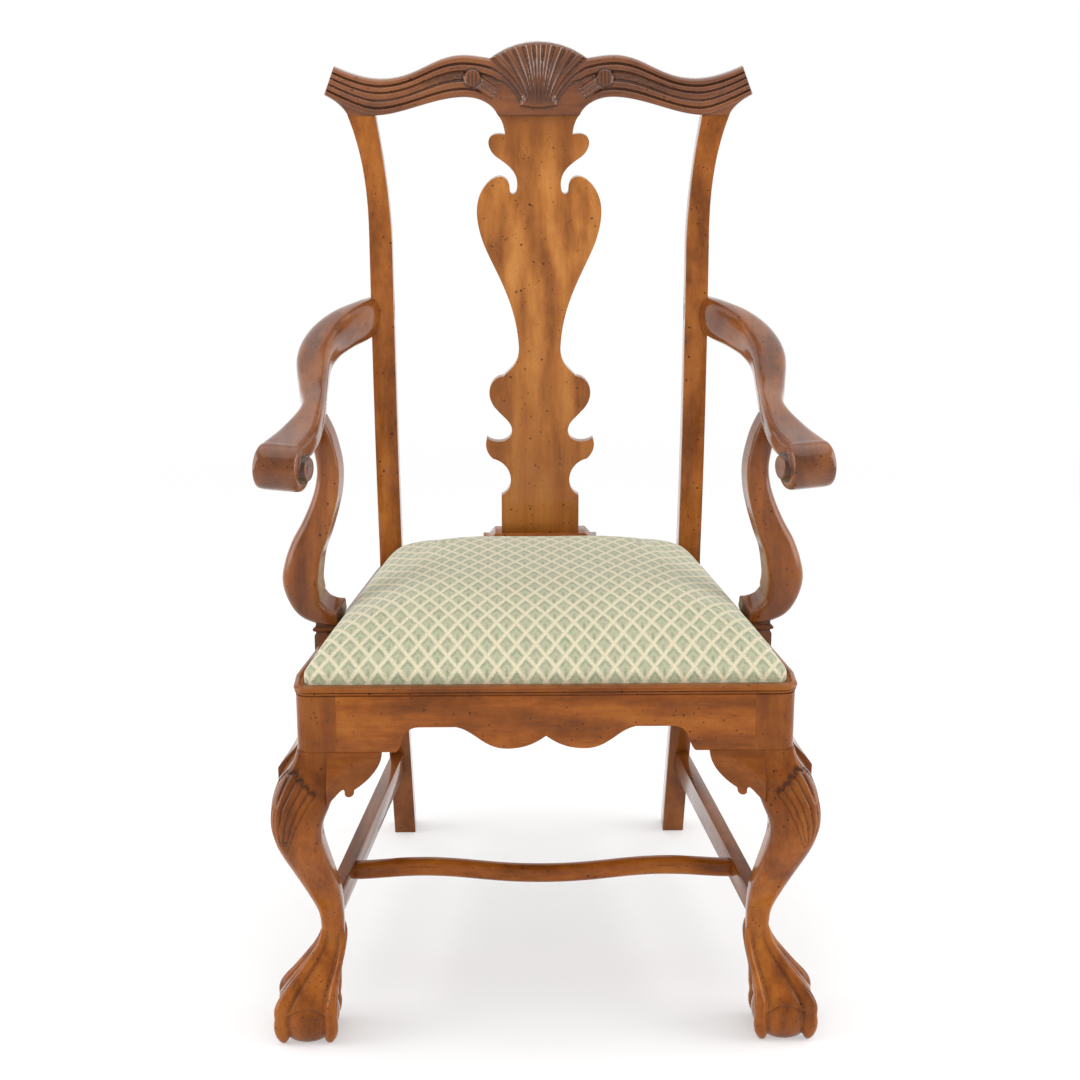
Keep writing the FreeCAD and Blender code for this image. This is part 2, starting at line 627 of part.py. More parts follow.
def front_tenon():
    low, high = tenon_heights()
    middle = RAIL_THICK / 2
    return box((POST_IN, middle - TENON / 2, low), (POST_IN + TENON_LENGTH, middle + TENON / 2, high))


def side_tenons():
    """Front and rear tenons of the side rail."""
    low, high = tenon_heights()
    front_x, rear_x = side_x(LEG_POST, RAIL_THICK / 2), side_x(SEAT_DEPTH, RAIL_THICK / 2)
    front = box((front_x - TENON / 2, LEG_POST - TENON_LENGTH, low), (front_x + TENON / 2, LEG_POST, high))
    rear = box((rear_x - TENON / 2, SEAT_DEPTH, low), (rear_x + TENON / 2, SEAT_DEPTH + TENON_LENGTH, high))
    return front, rear


def rear_tenon():
    low, high = tenon_heights()
    inner = HALF_REAR - POST_WIDTH
    limit = side_x(SEAT_DEPTH, RAIL_THICK / 2) - TENON / 2 - 2
    outer = min(inner + TENON_LENGTH, limit)
    middle = SEAT_DEPTH + POST_DEPTH / 2
    return box((inner, middle - TENON / 2, low), (outer, middle + TENON / 2, high))


def crest_tenon():
    """Tongue at the head of a rear post."""
    middle_x = HALF_REAR + POST_LEAN + POST_FLARE - POST_TOP_WIDTH / 2
    middle_y = SEAT_DEPTH + BACK_RAKE + CREST_THICK / 2
    half = POST_TOP_WIDTH / 2 - TENON_SHOULDER / 2
    return box((middle_x - half, middle_y - TENON / 2, CREST_BASE),
               (middle_x + half, middle_y + TENON / 2, CREST_BASE + TENON_LENGTH))


def corner_blocks(leg_post):
    """Front and rear glue blocks of one side, below the ledge."""
    low, high = LEDGE - BLOCK_HEIGHT, LEDGE
    front_y, rear_y = RAIL_THICK, SEAT_DEPTH - CLEAT
    front_leg = BLOCK_LEG + LEG_POST / 2
    front_x, rear_x = side_x(front_y, RAIL_THICK), side_x(rear_y, RAIL_THICK)
    front = plan_prism([(front_x, front_y), (front_x - front_leg, front_y),
                        (side_x(front_y + front_leg, RAIL_THICK), front_y + front_leg)], low, high)
    rear = plan_prism([(rear_x, rear_y), (rear_x - BLOCK_LEG, rear_y),
                       (side_x(rear_y - BLOCK_LEG, RAIL_THICK), rear_y - BLOCK_LEG)], low, high)
    return front.cut(leg_post), rear


def block_screws():
    """(start, direction, length) of the screws of one side's corner blocks."""
    inward = V(1, SIDE_SLOPE, 0).normalize()
    upper, lower = LEDGE - 0.3 * BLOCK_HEIGHT, LEDGE - 0.7 * BLOCK_HEIGHT
    front_y, rear_y = RAIL_THICK, SEAT_DEPTH - CLEAT
    front_end = front_y + BLOCK_LEG + LEG_POST / 2
    front_x = side_x(front_y, RAIL_THICK) - BLOCK_LEG - LEG_POST / 2
    reach, into_rail = 0.5 * BLOCK_LEG, 0.6 * RAIL_THICK
    side_front, side_rear = front_end - reach, rear_y - reach
    into_rear = CLEAT + REAR_RAIL_SET + 0.4 * POST_DEPTH
    return [(V(front_x + reach, front_y + reach, upper), V(0, -1, 0), reach + into_rail),
            (V(side_x(side_front, RAIL_THICK) - reach, side_front, lower), inward, reach + into_rail),
            (V(side_x(rear_y, RAIL_THICK) - reach, rear_y - reach, upper), V(0, 1, 0), reach + into_rear),
            (V(side_x(side_rear, RAIL_THICK) - reach, side_rear, lower), inward, reach + into_rail)]


def rear_cleat_body():
    """Strip along the rear rail, between the side rails, that carries the back of the seat."""
    front, back = SEAT_DEPTH - CLEAT, SEAT_DEPTH
    return plan_prism([(side_x(front, RAIL_THICK), front), (side_x(back, RAIL_THICK), back),
                       (-side_x(back, RAIL_THICK), back), (-side_x(front, RAIL_THICK), front)],
                      LEDGE - BLOCK_HEIGHT, LEDGE)


# Stretchers

def stretcher_line(depth):
    """Half-width of the side stretcher's axis at a depth."""
    front_x, front_y = HALF_FRONT - ANKLE_IN - 0.3 * ANKLE, LEG_POST / 2 + ANKLE_IN
    rear_x = HALF_REAR - FOOT_INSET - POST_WIDTH / 2 + 3
    rear_y = back_depth(STRETCHER_TOP) + POST_DEPTH / 2
    return front_x + (rear_x - front_x) * (depth - front_y) / (rear_y - front_y)


def side_stretcher_bar(thick, low, high, front, rear):
    half = thick / 2
    return plan_prism([(stretcher_line(front) - half, front), (stretcher_line(front) + half, front),
                       (stretcher_line(rear) + half, rear), (stretcher_line(rear) - half, rear)], low, high)


def medial_bar():
    """Cross stretcher that bows forward in the middle."""
    z = STRETCHER_TOP - STRETCHER_HEIGHT / 2
    end_x = stretcher_line(MEDIAL_DEPTH)
    rounding = 0.42 * MEDIAL_THICK
    half = ((1, 0.3), (0.78, 0.05), (0.5, 0), (0.22, 0.75))
    path = [(-share, bow) for share, bow in half] + [(0, 1)] + list(reversed(half))
    wires = []
    for share, bow in path:
        centre = V(share * end_x, MEDIAL_DEPTH - MEDIAL_BOW * (bow - 0.3), z)
        wires.append(rounded_section(centre, V(0, 1, 0), V(0, 0, 1), MEDIAL_THICK, MEDIAL_HEIGHT, rounding))
    return Part.makeLoft(wires, True, False)


# Arms and arm supports

def arm_path():
    """(centre, width, height) of the right arm from the rear post to the hand grip."""
    rear_y = back_depth(ARM_REAR_Z)
    root_x = HALF_REAR + POST_LEAN * lean_share(ARM_REAR_Z)
    span = rear_y - SCROLL_DEPTH
    top_z, low_z = ARM_REAR_Z, ARM_FRONT_Z + SCROLL_R - 13
    shape = ((1.05, 0, 1.0, 30, 46), (0.95, 15, 1.0, 35, 50), (0.8, 49, 0.91, 45, 46),
             (0.62, 60, 0.69, 50, 35), (0.45, 54, 0.42, 39, 28), (0.32, 50, 0.27, ARM_WAIST, 27),
             (0.17, 58, 0.1, 0.72 * ARM_HAND, 26), (0.05, 76, 0.0, 0.98 * ARM_HAND, 26))
    return [(V(root_x + out, SCROLL_DEPTH + span * share, low_z + (top_z - low_z) * rise), width, height)
            for share, out, rise, width, height in shape]


def arm_body(post):
    path = arm_path()
    hand = path[-1][0]
    aim = hand - path[-2][0]
    aim.z = 0
    aim.normalize()
    across = V(-aim.y, aim.x, 0)
    centre = V(hand.x, hand.y, ARM_FRONT_Z) + aim * (0.05 * SCROLL_R)
    roll = rod(centre - across * (ARM_HAND / 2), across, ARM_HAND, SCROLL_R)
    eye = rod(centre + across * (ARM_HAND / 2), across, EYE_PROUD, SCROLL_EYE)
    if across.x > 0:
        eye = rod(centre - across * (ARM_HAND / 2), across * -1, EYE_PROUD, SCROLL_EYE)
    return swept(path, 0.42).fuse(roll).fuse(eye).cut(post).removeSplitter()


def support_stations():
    """(centre, thickness, depth) up the S-shaped arm support."""
    rail_x = side_x(SUPPORT_DEPTH)
    low = RAIL_TOP + SUPPORT_NECK
    arm = arm_path()[5][0]
    rise = arm.z - low
    lean = arm.y - SUPPORT_DEPTH
    shape = ((-LIP - 4, 0.037, 18, 1), (0, 0.04, 20, 1), (14, 0.055, 28, 1), (27, 0.1, 38, 0.98),
             (34, 0.19, 44, 0.94), (32, 0.27, 43, 0.91), (26, 0.36, 39, 0.89), (16, 0.45, 35, 0.85),
             (6, 0.56, 31, 0.82), (0, 0.66, 28.5, 0.78), (-1, 0.76, 27, 0.74), (5, 0.88, 27, 0.7),
             (arm.x - rail_x, 1.0, 27, 0.65))
    return [(V(rail_x + out, SUPPORT_DEPTH + lean * share, low + rise * share), thick, depth * SUPPORT_FOOT)
            for out, share, thick, depth in shape]


def support_body(arm, rail):
    """S-shaped support with a moulded neck and a lap down the outside of the rail."""
    stations = support_stations()
    centres = [s[0] for s in stations]
    wires = []
    for i, (centre, thick, depth) in enumerate(stations):
        ahead = centres[min(i + 1, len(centres) - 1)] - centres[max(i - 1, 0)]
        ahead.y = 0
        ahead.normalize()
        across = V(ahead.z, 0, -ahead.x)
        wires.append(rounded_section(centre, across, V(0, 1, 0), thick, depth, 0.3 * thick))
    curve = Part.makeLoft(wires, True, False)
    front, rear = SUPPORT_DEPTH - 0.42 * SUPPORT_FOOT, SUPPORT_DEPTH + 0.42 * SUPPORT_FOOT
    low, top = RAIL_TOP - SUPPORT_LAP, RAIL_TOP + SUPPORT_NECK + 12

    def footprint(inner, outer):
        return [(side_x(front) - inner, front), (side_x(front) + outer, front),
                (side_x(rear) + outer, rear), (side_x(rear) - inner, rear)]

    lap = plan_prism(footprint(0, SUPPORT_PROUD), low, RAIL_TOP)
    neck = plan_prism(footprint(0.9 * LIP, SUPPORT_PROUD - 2), RAIL_TOP, top)
    bead = plan_prism(footprint(0.9 * LIP, SUPPORT_PROUD + 1.5), RAIL_TOP + 2, RAIL_TOP + 8)
    support = curve.fuse(neck).fuse(bead).fuse(lap)
    above_arm = box((0, -FAR, arm_path()[5][0].z), (FAR, FAR, FAR))
    over_seat = seat_pocket().common(box((0, 0, 0), (FAR, FAR, RAIL_TOP + SUPPORT_NECK + 30)))
    return support.cut(above_arm).cut(arm).cut(rail).cut(over_seat).removeSplitter()


def arm_dowel(gap):
    """Dowel between the arm and its support, or, with a gap, the hole for it."""
    arm = arm_path()[5][0]
    low = arm.z - 0.95 * DOWEL_LENGTH
    return rod(V(arm.x, arm.y, low - gap), V(0, 0, 1), 0.8 * DOWEL_LENGTH + 2 * gap, DOWEL_R + gap)


def arm_screw_place():
    """Head of the screw that holds the arm, sunk in the inner face of the rear post."""
    y = back_depth(ARM_REAR_Z) + 0.4 * POST_DEPTH
    inner_x = HALF_REAR - POST_WIDTH + POST_LEAN * lean_share(ARM_REAR_Z)
    return V(inner_x + PLUG_LENGTH + 0.4, y, ARM_REAR_Z)


def support_screw_places():
    """Heads of the two screws through the side rail into the lap of the arm support."""
    inward = V(1, SIDE_SLOPE, 0).normalize()
    return [(V(side_x(y, RAIL_THICK), y, RAIL_TOP - 0.6 * SUPPORT_LAP), inward)
            for y in (SUPPORT_DEPTH - 0.22 * SUPPORT_FOOT, SUPPORT_DEPTH + 0.22 * SUPPORT_FOOT)]


# Drop-in seat

def inset_plan(inset, front=None, rear=None):
    """Plan corners of the covered seat, drawn in at its sides and, where given, apart at front and rear."""
    front = inset if front is None else front
    rear = inset if rear is None else rear
    return seat_plan(LIP + SEAT_GAP + front, LIP + SEAT_GAP + inset, SEAT_GAP + rear)


def rounded_plan(corners, z, radius):
    """Closed wire of a plan at a height, with its corners rounded."""
    corners = [V(x, y, z) for x, y in corners]
    edges = []
    for i, corner in enumerate(corners):
        before, after = corners[i - 1], corners[(i + 1) % 4]
        a, b = (before - corner).normalize(), (after - corner).normalize()
        half_turn = a.getAngle(b) / 2
        run = radius / math.tan(half_turn)
        middle = corner + (a + b).normalize() * (radius / math.sin(half_turn) - radius)
        first, last = corner + a * run, corner + b * run
        if edges:
            edges.append(line(edges[-1].Vertexes[-1].Point, first))
        edges.append(arc(first, middle, last))
    edges.append(line(edges[-1].Vertexes[-1].Point, edges[0].Vertexes[0].Point))
    return Part.Wire(edges)


def cushion(shrink, bottom):
    """Crowned form of the covered seat, everywhere shrunk by a cloth thickness for what lies inside."""
    bars_top = LEDGE + COVER + BAR_THICK
    swell = PAD_CROWN + COVER
    profile = ((1.5, 2, 1, 0.1), (4, 8, 2.5, 0.2), (8.5, 18, 5.5, 0.34), (16, 33, 10, 0.49),
               (25, 47, 17, 0.6), (38, 64, 27, 0.7), (54, 84, 42, 0.79), (73, 106, 60, 0.87),
               (95, 130, 82, 0.93), (120, 155, 108, 0.975), (150, 180, 140, 1.0))
    shape = [(0, 0, 0, bottom), (0, 0, 0, bars_top + COVER)]
    shape += [(s, f, r, bars_top + swell * rise) for s, f, r, rise in profile]
    wires = []
    for side, front, rear, z in shape:
        corners = inset_plan(side + shrink, front + shrink, rear + shrink)
        wires.append(rounded_plan(corners, z - (shrink if z > bottom else 0), CORNER_ROUND))
    return Part.makeLoft(wires, True, True)


def seat_bars():
    """Side, front and rear bars of the drop-in seat's frame, on the +X side where paired."""
    low, high = LEDGE + COVER, LEDGE + COVER + BAR_THICK
    outer = inset_plan(COVER)
    front_y, rear_y = outer[0][1], outer[1][1]
    inner_f, inner_r = outer[0][0] - BAR_WIDTH / SIDE_COS, outer[1][0] - BAR_WIDTH / SIDE_COS
    side = plan_prism([outer[0], outer[1], (inner_r, rear_y), (inner_f, front_y)], low, high)
    slope = (inner_f - inner_r) / (rear_y - front_y)

    def inner_x(y):
        return inner_f - slope * (y - front_y)

    def cross(y0, y1):
        x0, x1 = inner_x(y0), inner_x(y1)
        return plan_prism([(x0, y0), (x1, y1), (-x1, y1), (-x0, y0)], low, high)

    rounded = inner_plan(COVER, low, high)
    return side.common(rounded), cross(front_y, front_y + BAR_WIDTH), cross(rear_y - BAR_WIDTH, rear_y)


def webbing():
    """Straps stretched over the bars: a lengthwise layer under a crosswise layer."""
    base = LEDGE + COVER + BAR_THICK
    upper = base + WEB_THICK
    front_y, rear_y = inset_plan(COVER)[0][1], inset_plan(COVER)[1][1]
    half = WEB_WIDTH / 2
    straps = []
    for i in (-1, 0, 1):
        x = i * 1.7 * WEB_WIDTH
        straps.append(box((x - half, front_y + WEB_END, base), (x + half, rear_y - WEB_END, upper)))
    for i in (1, 2, 3):
        y = front_y + (rear_y - front_y) * i / 4
        reach = side_x(y + half, LIP + SEAT_GAP + COVER) - WEB_END
        straps.append(box((-reach, y - half, upper), (reach, y + half, upper + WEB_THICK)))
    return Part.makeCompound(straps)


def seat_pad():
    base = LEDGE + COVER + BAR_THICK + 2 * WEB_THICK
    above = box((-FAR, -FAR, base), (FAR, FAR, FAR))
    return cushion(COVER, LEDGE + COVER).common(above)


def inner_plan(inset, low, high):
    """Upright solid of the seat's plan drawn in by an inset."""
    return Part.Face(rounded_plan(inset_plan(inset), low, CORNER_ROUND)).extrude(V(0, 0, high - low))


def seat_cover():
    """Cloth over the pad and round the bars, folded under them."""
    skin = cushion(0, LEDGE).cut(cushion(COVER, LEDGE + COVER))
    return skin.cut(inner_plan(TURN_UNDER, LEDGE - 1, LEDGE + COVER + 1))


def dust_cover():
    return inner_plan(TURN_UNDER + GLUE_GAP, LEDGE + 0.4 * COVER, LEDGE + COVER)


def tacks():
    """Tacks through the folded cloth into the front and rear bars."""
    heads = []
    front_y, rear_y = inset_plan(COVER + TURN_UNDER / 2)[0][1], inset_plan(COVER + TURN_UNDER / 2)[1][1]
    for y in (front_y, rear_y):
        count = int(2 * (side_x(y, LIP + BAR_WIDTH)) / TACK_PITCH)
        for i in range(count + 1):
            x = (i - count / 2) * TACK_PITCH
            shank = rod(V(x, y, LEDGE + 0.2), V(0, 0, 1), COVER + 9, TACK_R / 3)
            heads.append(shank.fuse(rod(V(x, y, LEDGE + 0.2), V(0, 0, 1), 0.7, TACK_R)).removeSplitter())
    return heads


# Assembly

def stretchers(leg, post):
    """Side stretcher, its mortise and the cross stretcher, fitted to the legs."""
    low, high = STRETCHER_TOP - STRETCHER_HEIGHT, STRETCHER_TOP
    shoulder_y, rear_y = ANKLE_IN + 0.85 * ANKLE, back_depth(STRETCHER_TOP) + POST_DEPTH / 2
    tongue_y = (LEG_POST + ANKLE_IN) / 2
    step = 0.2 * STRETCHER_HEIGHT
    side = side_stretcher_bar(STRETCHER_THICK, low, high, shoulder_y, rear_y).cut(leg).cut(post)
    side = max(side.Solids, key=lambda s: s.Volume)
    tongue = side_stretcher_bar(TENON, low + step, high - step, tongue_y, rear_y)
    slot = side_stretcher_bar(TENON + 2 * GLUE_GAP, low + step - GLUE_GAP, high - step + GLUE_GAP,
                              tongue_y - GLUE_GAP, rear_y + GLUE_GAP)
    side = side.fuse(tongue).removeSplitter()

    middle_z, half = STRETCHER_TOP - STRETCHER_HEIGHT / 2, TENON / 2
    end_x = stretcher_line(MEDIAL_DEPTH)
    medial_tongue = box((-end_x, MEDIAL_DEPTH - half, middle_z - half),
                        (end_x, MEDIAL_DEPTH + half, middle_z + half))
    medial = medial_bar().cut(side).cut(mirrored(side))
    medial = max(medial.Solids, key=lambda s: s.Volume).fuse(medial_tongue).removeSplitter()
    return side.cut(grown(medial_tongue, GLUE_GAP)), slot, medial


def back_pieces():
    """Splat, shoe and crest rail, with the splat's foot tenon for the rear rail's mortise."""
    foot, head = splat_tenons()
    splat = splat_body().fuse(foot).fuse(head).removeSplitter()
    shoe = shoe_body().cut(grown(foot, GLUE_GAP)).cut(splat)
    crest = crest_body().fuse(shell()).removeSplitter()
    for tenon in (head, crest_tenon(), mirrored(crest_tenon())):
        crest = crest.cut(grown(tenon, GLUE_GAP))
    return splat, shoe, crest, foot


def seat_pieces():
    """Loose seat: bars, straps, pad, cloth and tacks. The side bar is the right-hand one."""
    side, front, rear = seat_bars()
    cover, nails = seat_cover(), tacks()
    for nail in nails:
        cover, front, rear = cover.cut(nail), front.cut(nail), rear.cut(nail)
    pieces = dict(seat_front_bar=front, seat_rear_bar=rear, seat_webbing=webbing(), seat_pad=seat_pad())
    pieces.update(seat_cover=cover, seat_dust_cover=dust_cover(), seat_tacks=Part.makeCompound(nails))
    return pieces, side


def build():
    """Every piece by node name, at its place in depth coordinates."""
    pocket, quirk = seat_pocket(), quirk_ring()
    leg, post = front_leg_body(), rear_post_body()
    side_stretcher, stretcher_slot, medial = stretchers(leg, post)
    bracket_f = bracket_front(leg)
    arm = arm_body(post)
    side_rail = side_rail_body()
    support = support_body(arm, side_rail)
    splat, shoe, crest, splat_foot = back_pieces()
    block_front, block_rear = corner_blocks(front_post())
    cleat = rear_cleat_body()

    # Dowel, plugged screw and lap screws of one arm
    dowel = arm_dowel(0)
    dowel_hole = arm_dowel(GLUE_GAP)
    outward = V(1, 0, 0)
    arm_head, arm_length = arm_screw_place(), POST_WIDTH + 12
    plug = rod(arm_head - outward * PLUG_LENGTH, outward, PLUG_LENGTH, SCREW_HEAD_R)
    plug_hole = rod(arm_head - outward * (2 * PLUG_LENGTH), outward, 2 * PLUG_LENGTH, SCREW_HEAD_R + GLUE_GAP)
    for hole in (screw_hole(arm_head, outward, arm_length), plug_hole):
        post, arm = post.cut(hole), arm.cut(hole)
    arm, support = arm.cut(dowel_hole), support.cut(dowel_hole)
    lap_length = RAIL_THICK + 0.7 * SUPPORT_PROUD
    lap_screws = support_screw_places()
    for start, direction in lap_screws:
        hole = screw_hole(start, direction, lap_length)
        side_rail, support = side_rail.cut(hole), support.cut(hole)

    # Tenons and their mortises
    front_joint, rear_joint = side_tenons()
    for tenon in (front_tenon(), front_joint):
        leg = leg.cut(grown(tenon, GLUE_GAP))
    leg = leg.cut(stretcher_slot).cut(pocket).cut(quirk)
    for tenon in (rear_joint, rear_tenon()):
        post = post.cut(grown(tenon, GLUE_GAP))
    post = post.cut(stretcher_slot).fuse(crest_tenon()).removeSplitter()
    side_rail = side_rail.cut(pocket).cut(quirk).fuse(front_joint).fuse(rear_joint).removeSplitter()
    front_rail = front_rail_body().cut(pocket).cut(quirk)
    front_rail = front_rail.fuse(front_tenon()).fuse(mirrored(front_tenon())).removeSplitter()
    rear_rail = rear_rail_body().fuse(rear_tenon()).fuse(mirrored(rear_tenon())).removeSplitter()
    rear_rail = rear_rail.cut(grown(splat_foot, GLUE_GAP))

    # Screws of the corner blocks
    corner_screws = block_screws()
    for start, direction, length in corner_screws:
        hole = screw_hole(start, direction, length)
        block_front, block_rear = block_front.cut(hole), block_rear.cut(hole)
        side_rail = side_rail.cut(hole)
        for side_hole in (hole, mirrored(hole)):
            front_rail, rear_rail = front_rail.cut(side_hole), rear_rail.cut(side_hole)
            cleat = cleat.cut(side_hole)

    parts, seat_side = seat_pieces()
    parts.update(front_rail=front_rail, rear_rail=rear_rail, rear_seat_cleat=cleat, medial_stretcher=medial)
    parts.update(crest_rail=crest, splat=splat, splat_shoe=shoe)

    fasteners = dict(arm_dowels=[dowel], arm_screw_plugs=[plug])
    fasteners["arm_screws"] = [screw(arm_head, outward, arm_length)]
    fasteners["arm_support_screws"] = [screw(start, direction, lap_length) for start, direction in lap_screws]
    fasteners["corner_block_screws"] = [screw(*place) for place in corner_screws]
    for name, solids in fasteners.items():
        parts[name] = Part.makeCompound(solids + [mirrored(s) for s in solids])

    paired = dict(front_leg=leg, rear_post=post, side_rail=side_rail, side_stretcher=side_stretcher)
    paired.update(knee_bracket_front=bracket_f, knee_bracket_side=bracket_side(bracket_f))
    paired["seat_side_bar"] = seat_side
    paired.update(arm=arm, arm_support=support, corner_block_front=block_front, corner_block_rear=block_rear)
    for name, shape in paired.items():
        parts[name + "_right"] = shape
        parts[name + "_left"] = mirrored(shape)
    return parts


def main():
    os.makedirs("parts", exist_ok=True)
    for name, shape in sorted(build().items()):
        shape = shape.translated(V(0, FRONT_Y, 0))
        shape.exportStep(os.path.join("parts", name + ".step"))
        state = "valid" if shape.isValid() else "NOT VALID"
        print(name, len(shape.Solids), "solids,", state, round(shape.Volume / 1000, 1), "cm3")


if __name__ == "__main__":
    main()
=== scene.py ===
import math

import bmesh
import bpy
import numpy as np
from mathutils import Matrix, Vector


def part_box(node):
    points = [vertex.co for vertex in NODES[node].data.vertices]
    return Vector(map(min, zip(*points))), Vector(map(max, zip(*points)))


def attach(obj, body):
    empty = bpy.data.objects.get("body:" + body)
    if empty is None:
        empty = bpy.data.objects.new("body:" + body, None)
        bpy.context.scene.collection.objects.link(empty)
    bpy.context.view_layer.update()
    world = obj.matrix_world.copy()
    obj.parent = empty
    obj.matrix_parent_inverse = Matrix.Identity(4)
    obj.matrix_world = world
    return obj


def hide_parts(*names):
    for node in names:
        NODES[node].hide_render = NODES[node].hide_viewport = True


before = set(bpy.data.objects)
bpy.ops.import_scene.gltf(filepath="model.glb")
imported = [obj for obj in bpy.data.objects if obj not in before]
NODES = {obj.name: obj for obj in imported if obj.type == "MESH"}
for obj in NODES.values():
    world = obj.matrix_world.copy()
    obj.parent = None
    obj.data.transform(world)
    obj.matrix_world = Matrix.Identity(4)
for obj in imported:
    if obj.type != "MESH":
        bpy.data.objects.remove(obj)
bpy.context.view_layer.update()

# Carved armchair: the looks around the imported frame. Metres, +Z up, the chair faces -Y.

FRAME_BODY, SEAT_BODY = "chair_frame", "slip_seat"
MM = 0.001
UP = np.array([0, 0, 1.0])


# Materials

class Nodes:
    """Short forms for adding nodes to a tree."""

    def __init__(self, tree):
        self.tree = tree

    def put(self, node, values):
        """Sets or links a node's inputs, which are given by name or number."""
        for key, value in values.items():
            if isinstance(value, bpy.types.NodeSocket):
                self.tree.links.new(value, node.inputs[key])
            else:
                node.inputs[key].default_value = value
        return node

    def add(self, kind, values=None, **settings):
        """A new node with its settings and inputs."""
        node = self.tree.nodes.new("ShaderNode" + kind)
        for name, setting in settings.items():
            setattr(node, name, setting)
        return self.put(node, values or {})

    def math(self, operation, a, b=0.0):
        return self.add("Math", {0: a, 1: b}, operation=operation).outputs[0]

    def minus(self, a, b):
        return self.math("SUBTRACT", a, b)

    def total(self, first, *others):
        for other in others:
            first = self.math("ADD", first, other)
        return first

    def product(self, first, *others):
        for other in others:
            first = self.math("MULTIPLY", first, other)
        return first

    def range(self, value, low, high, to_low=0.0, to_high=1.0):
        """Smooth step from one range to another."""
        values = dict(enumerate((value, low, high, to_low, to_high)))
        return self.add("MapRange", values, interpolation_type="SMOOTHSTEP").outputs[0]

    def noise(self, vector, scale, detail=3.0, roughness=0.55):
        values = {"Vector": vector, "Scale": scale, "Detail": detail, "Roughness": roughness}
        return self.add("TexNoise", values).outputs["Fac"]

    def mix(self, share, a, b, data="RGBA", blend="MIX"):
        values = {"Factor": share, "A": a, "B": b}
        return self.add("Mix", values, data_type=data, blend_type=blend).outputs["Result"]

    def ramp(self, value, stops):
        node = self.add("ValToRGB", {"Fac": value})
        elements = node.color_ramp.elements
        while len(elements) < len(stops):
            elements.new(0.5)
        for element, (place, colour) in zip(elements, stops):
            element.position = place
            element.color = (*colour, 1.0)
        return node.outputs["Color"]

    def object_place(self, scale=(1.0, 1.0, 1.0)):
        place = self.add("TexCoord").outputs["Object"]
        return self.add("Mapping", {"Vector": place, "Scale": scale}).outputs["Vector"]

    def split(self, vector):
        return self.add("SeparateXYZ", {"Vector": vector}).outputs

    def bump(self, height, strength, distance):
        values = {"Height": height, "Strength": strength, "Distance": distance}
        return self.add("Bump", values).outputs["Normal"]


def new_material(name):
    """A material with the short forms for its nodes, and its shader."""
    material = bpy.data.materials.new(name)
    material.use_nodes = True
    n = Nodes(material.node_tree)
    n.tree.nodes.clear()
    shader = n.add("BsdfPrincipled")
    n.add("OutputMaterial", {"Surface": shader.outputs["BSDF"]})
    return material, n, shader


# Colours of dark specks, and of the glaze with painted shade in hollows and grooves
SPECK, GLAZE_AND_SHADE = (0.012, 0.005, 0.003, 1.0), (0.016, 0.006, 0.003, 1.0)
SPECK_SIZES = ((85.0, 0.09, 0.17, 0.53), (150.0, 0.1, 0.2, 0.52))     # scale, dark within, clear from, rarity
GRAIN = 7.0                 # scale across the grain; along it, this is divided by the grain's length


def wood(name, along, colours, cloud=0.34, streak=0.3, gloss=1.25, length=7.0, stains=()):
    """Stained, lacquered wood: grain along an axis, dark specks, darkening by height, and glaze with painted
    shade in the carved hollows.

    Each darkened height darkens the wood by its share: none at its first height, the whole of it at its
    second.
    """
    dark, middle, light = colours
    material, n, shader = new_material(name)
    place = n.object_place()

    def grain(finer, scale, detail, roughness):
        """Noise drawn out along the grain."""
        stretch = [finer * (GRAIN if axis != along else GRAIN / length) for axis in "xyz"]
        return n.noise(n.object_place(stretch), scale, detail, roughness)

    streaks = n.range(grain(1.0, 5.5, 4.0, 0.5), 0.28, 0.72)
    fine, pores = grain(6.0, 7.0, 4.0, 0.65), grain(14.0, 16.0, 2.0, 0.5)
    clouds = n.noise(n.object_place([1.0 if axis != along else 0.6 for axis in "xyz"]), 18.0)
    smudges = n.noise(place, 60.0, 3.0, 0.6)
    tone = n.total(n.product(streaks, streak), n.product(fine, 0.26), n.product(n.minus(clouds, 0.5), cloud),
                   n.product(n.minus(smudges, 0.5), 0.7 * cloud))
    centre = 0.5 * streak + 0.15
    colour = n.ramp(tone, [(centre - 0.3, dark), (centre, middle), (centre + 0.32, light)])
    colour = n.mix(n.range(pores, 0.6, 0.74, 0.0, 0.4), colour, (*[0.4 * c for c in dark], 1.0))
    specks = 0.0
    for scale, low, high, rarity in SPECK_SIZES:
        distance = n.add("TexVoronoi", {"Vector": place, "Scale": scale}).outputs["Distance"]
        chosen = n.range(n.noise(place, 0.6 * scale, 1.0), rarity, rarity + 0.05)
        specks = n.math("MAXIMUM", specks, n.product(n.range(distance, low, high, 1.0, 0.0), chosen))
    colour = n.mix(n.product(specks, 0.8), colour, SPECK)
    height = n.split(place)["Z"]
    # Darkening by height: painted shade on the rear posts, the legs and the splat
    for start, full, share in stains:
        colour = n.mix(n.range(height, start, full, 0.0, share), colour, (*dark, 1.0))
    # Glaze with painted shade, from an attribute: dark in carved hollows and grooves and on the fronts of the
    # hand grips
    glaze_and_shade = n.add("Attribute", attribute_name="glaze_and_shade").outputs["Fac"]
    relief = n.minus(n.product(fine, 0.3), n.product(specks, 1.5))
    n.put(shader, {"Base Color": n.mix(n.product(glaze_and_shade, 0.88), colour, GLAZE_AND_SHADE),
                   "Roughness": n.range(clouds, 0.3, 0.7, 0.24, 0.36), "Specular IOR Level": 0.05,
                   "Coat Weight": 1.0, "Coat IOR": gloss, "Coat Roughness": 0.12,
                   "Normal": n.bump(relief, 0.2, 0.0006)})
    return material


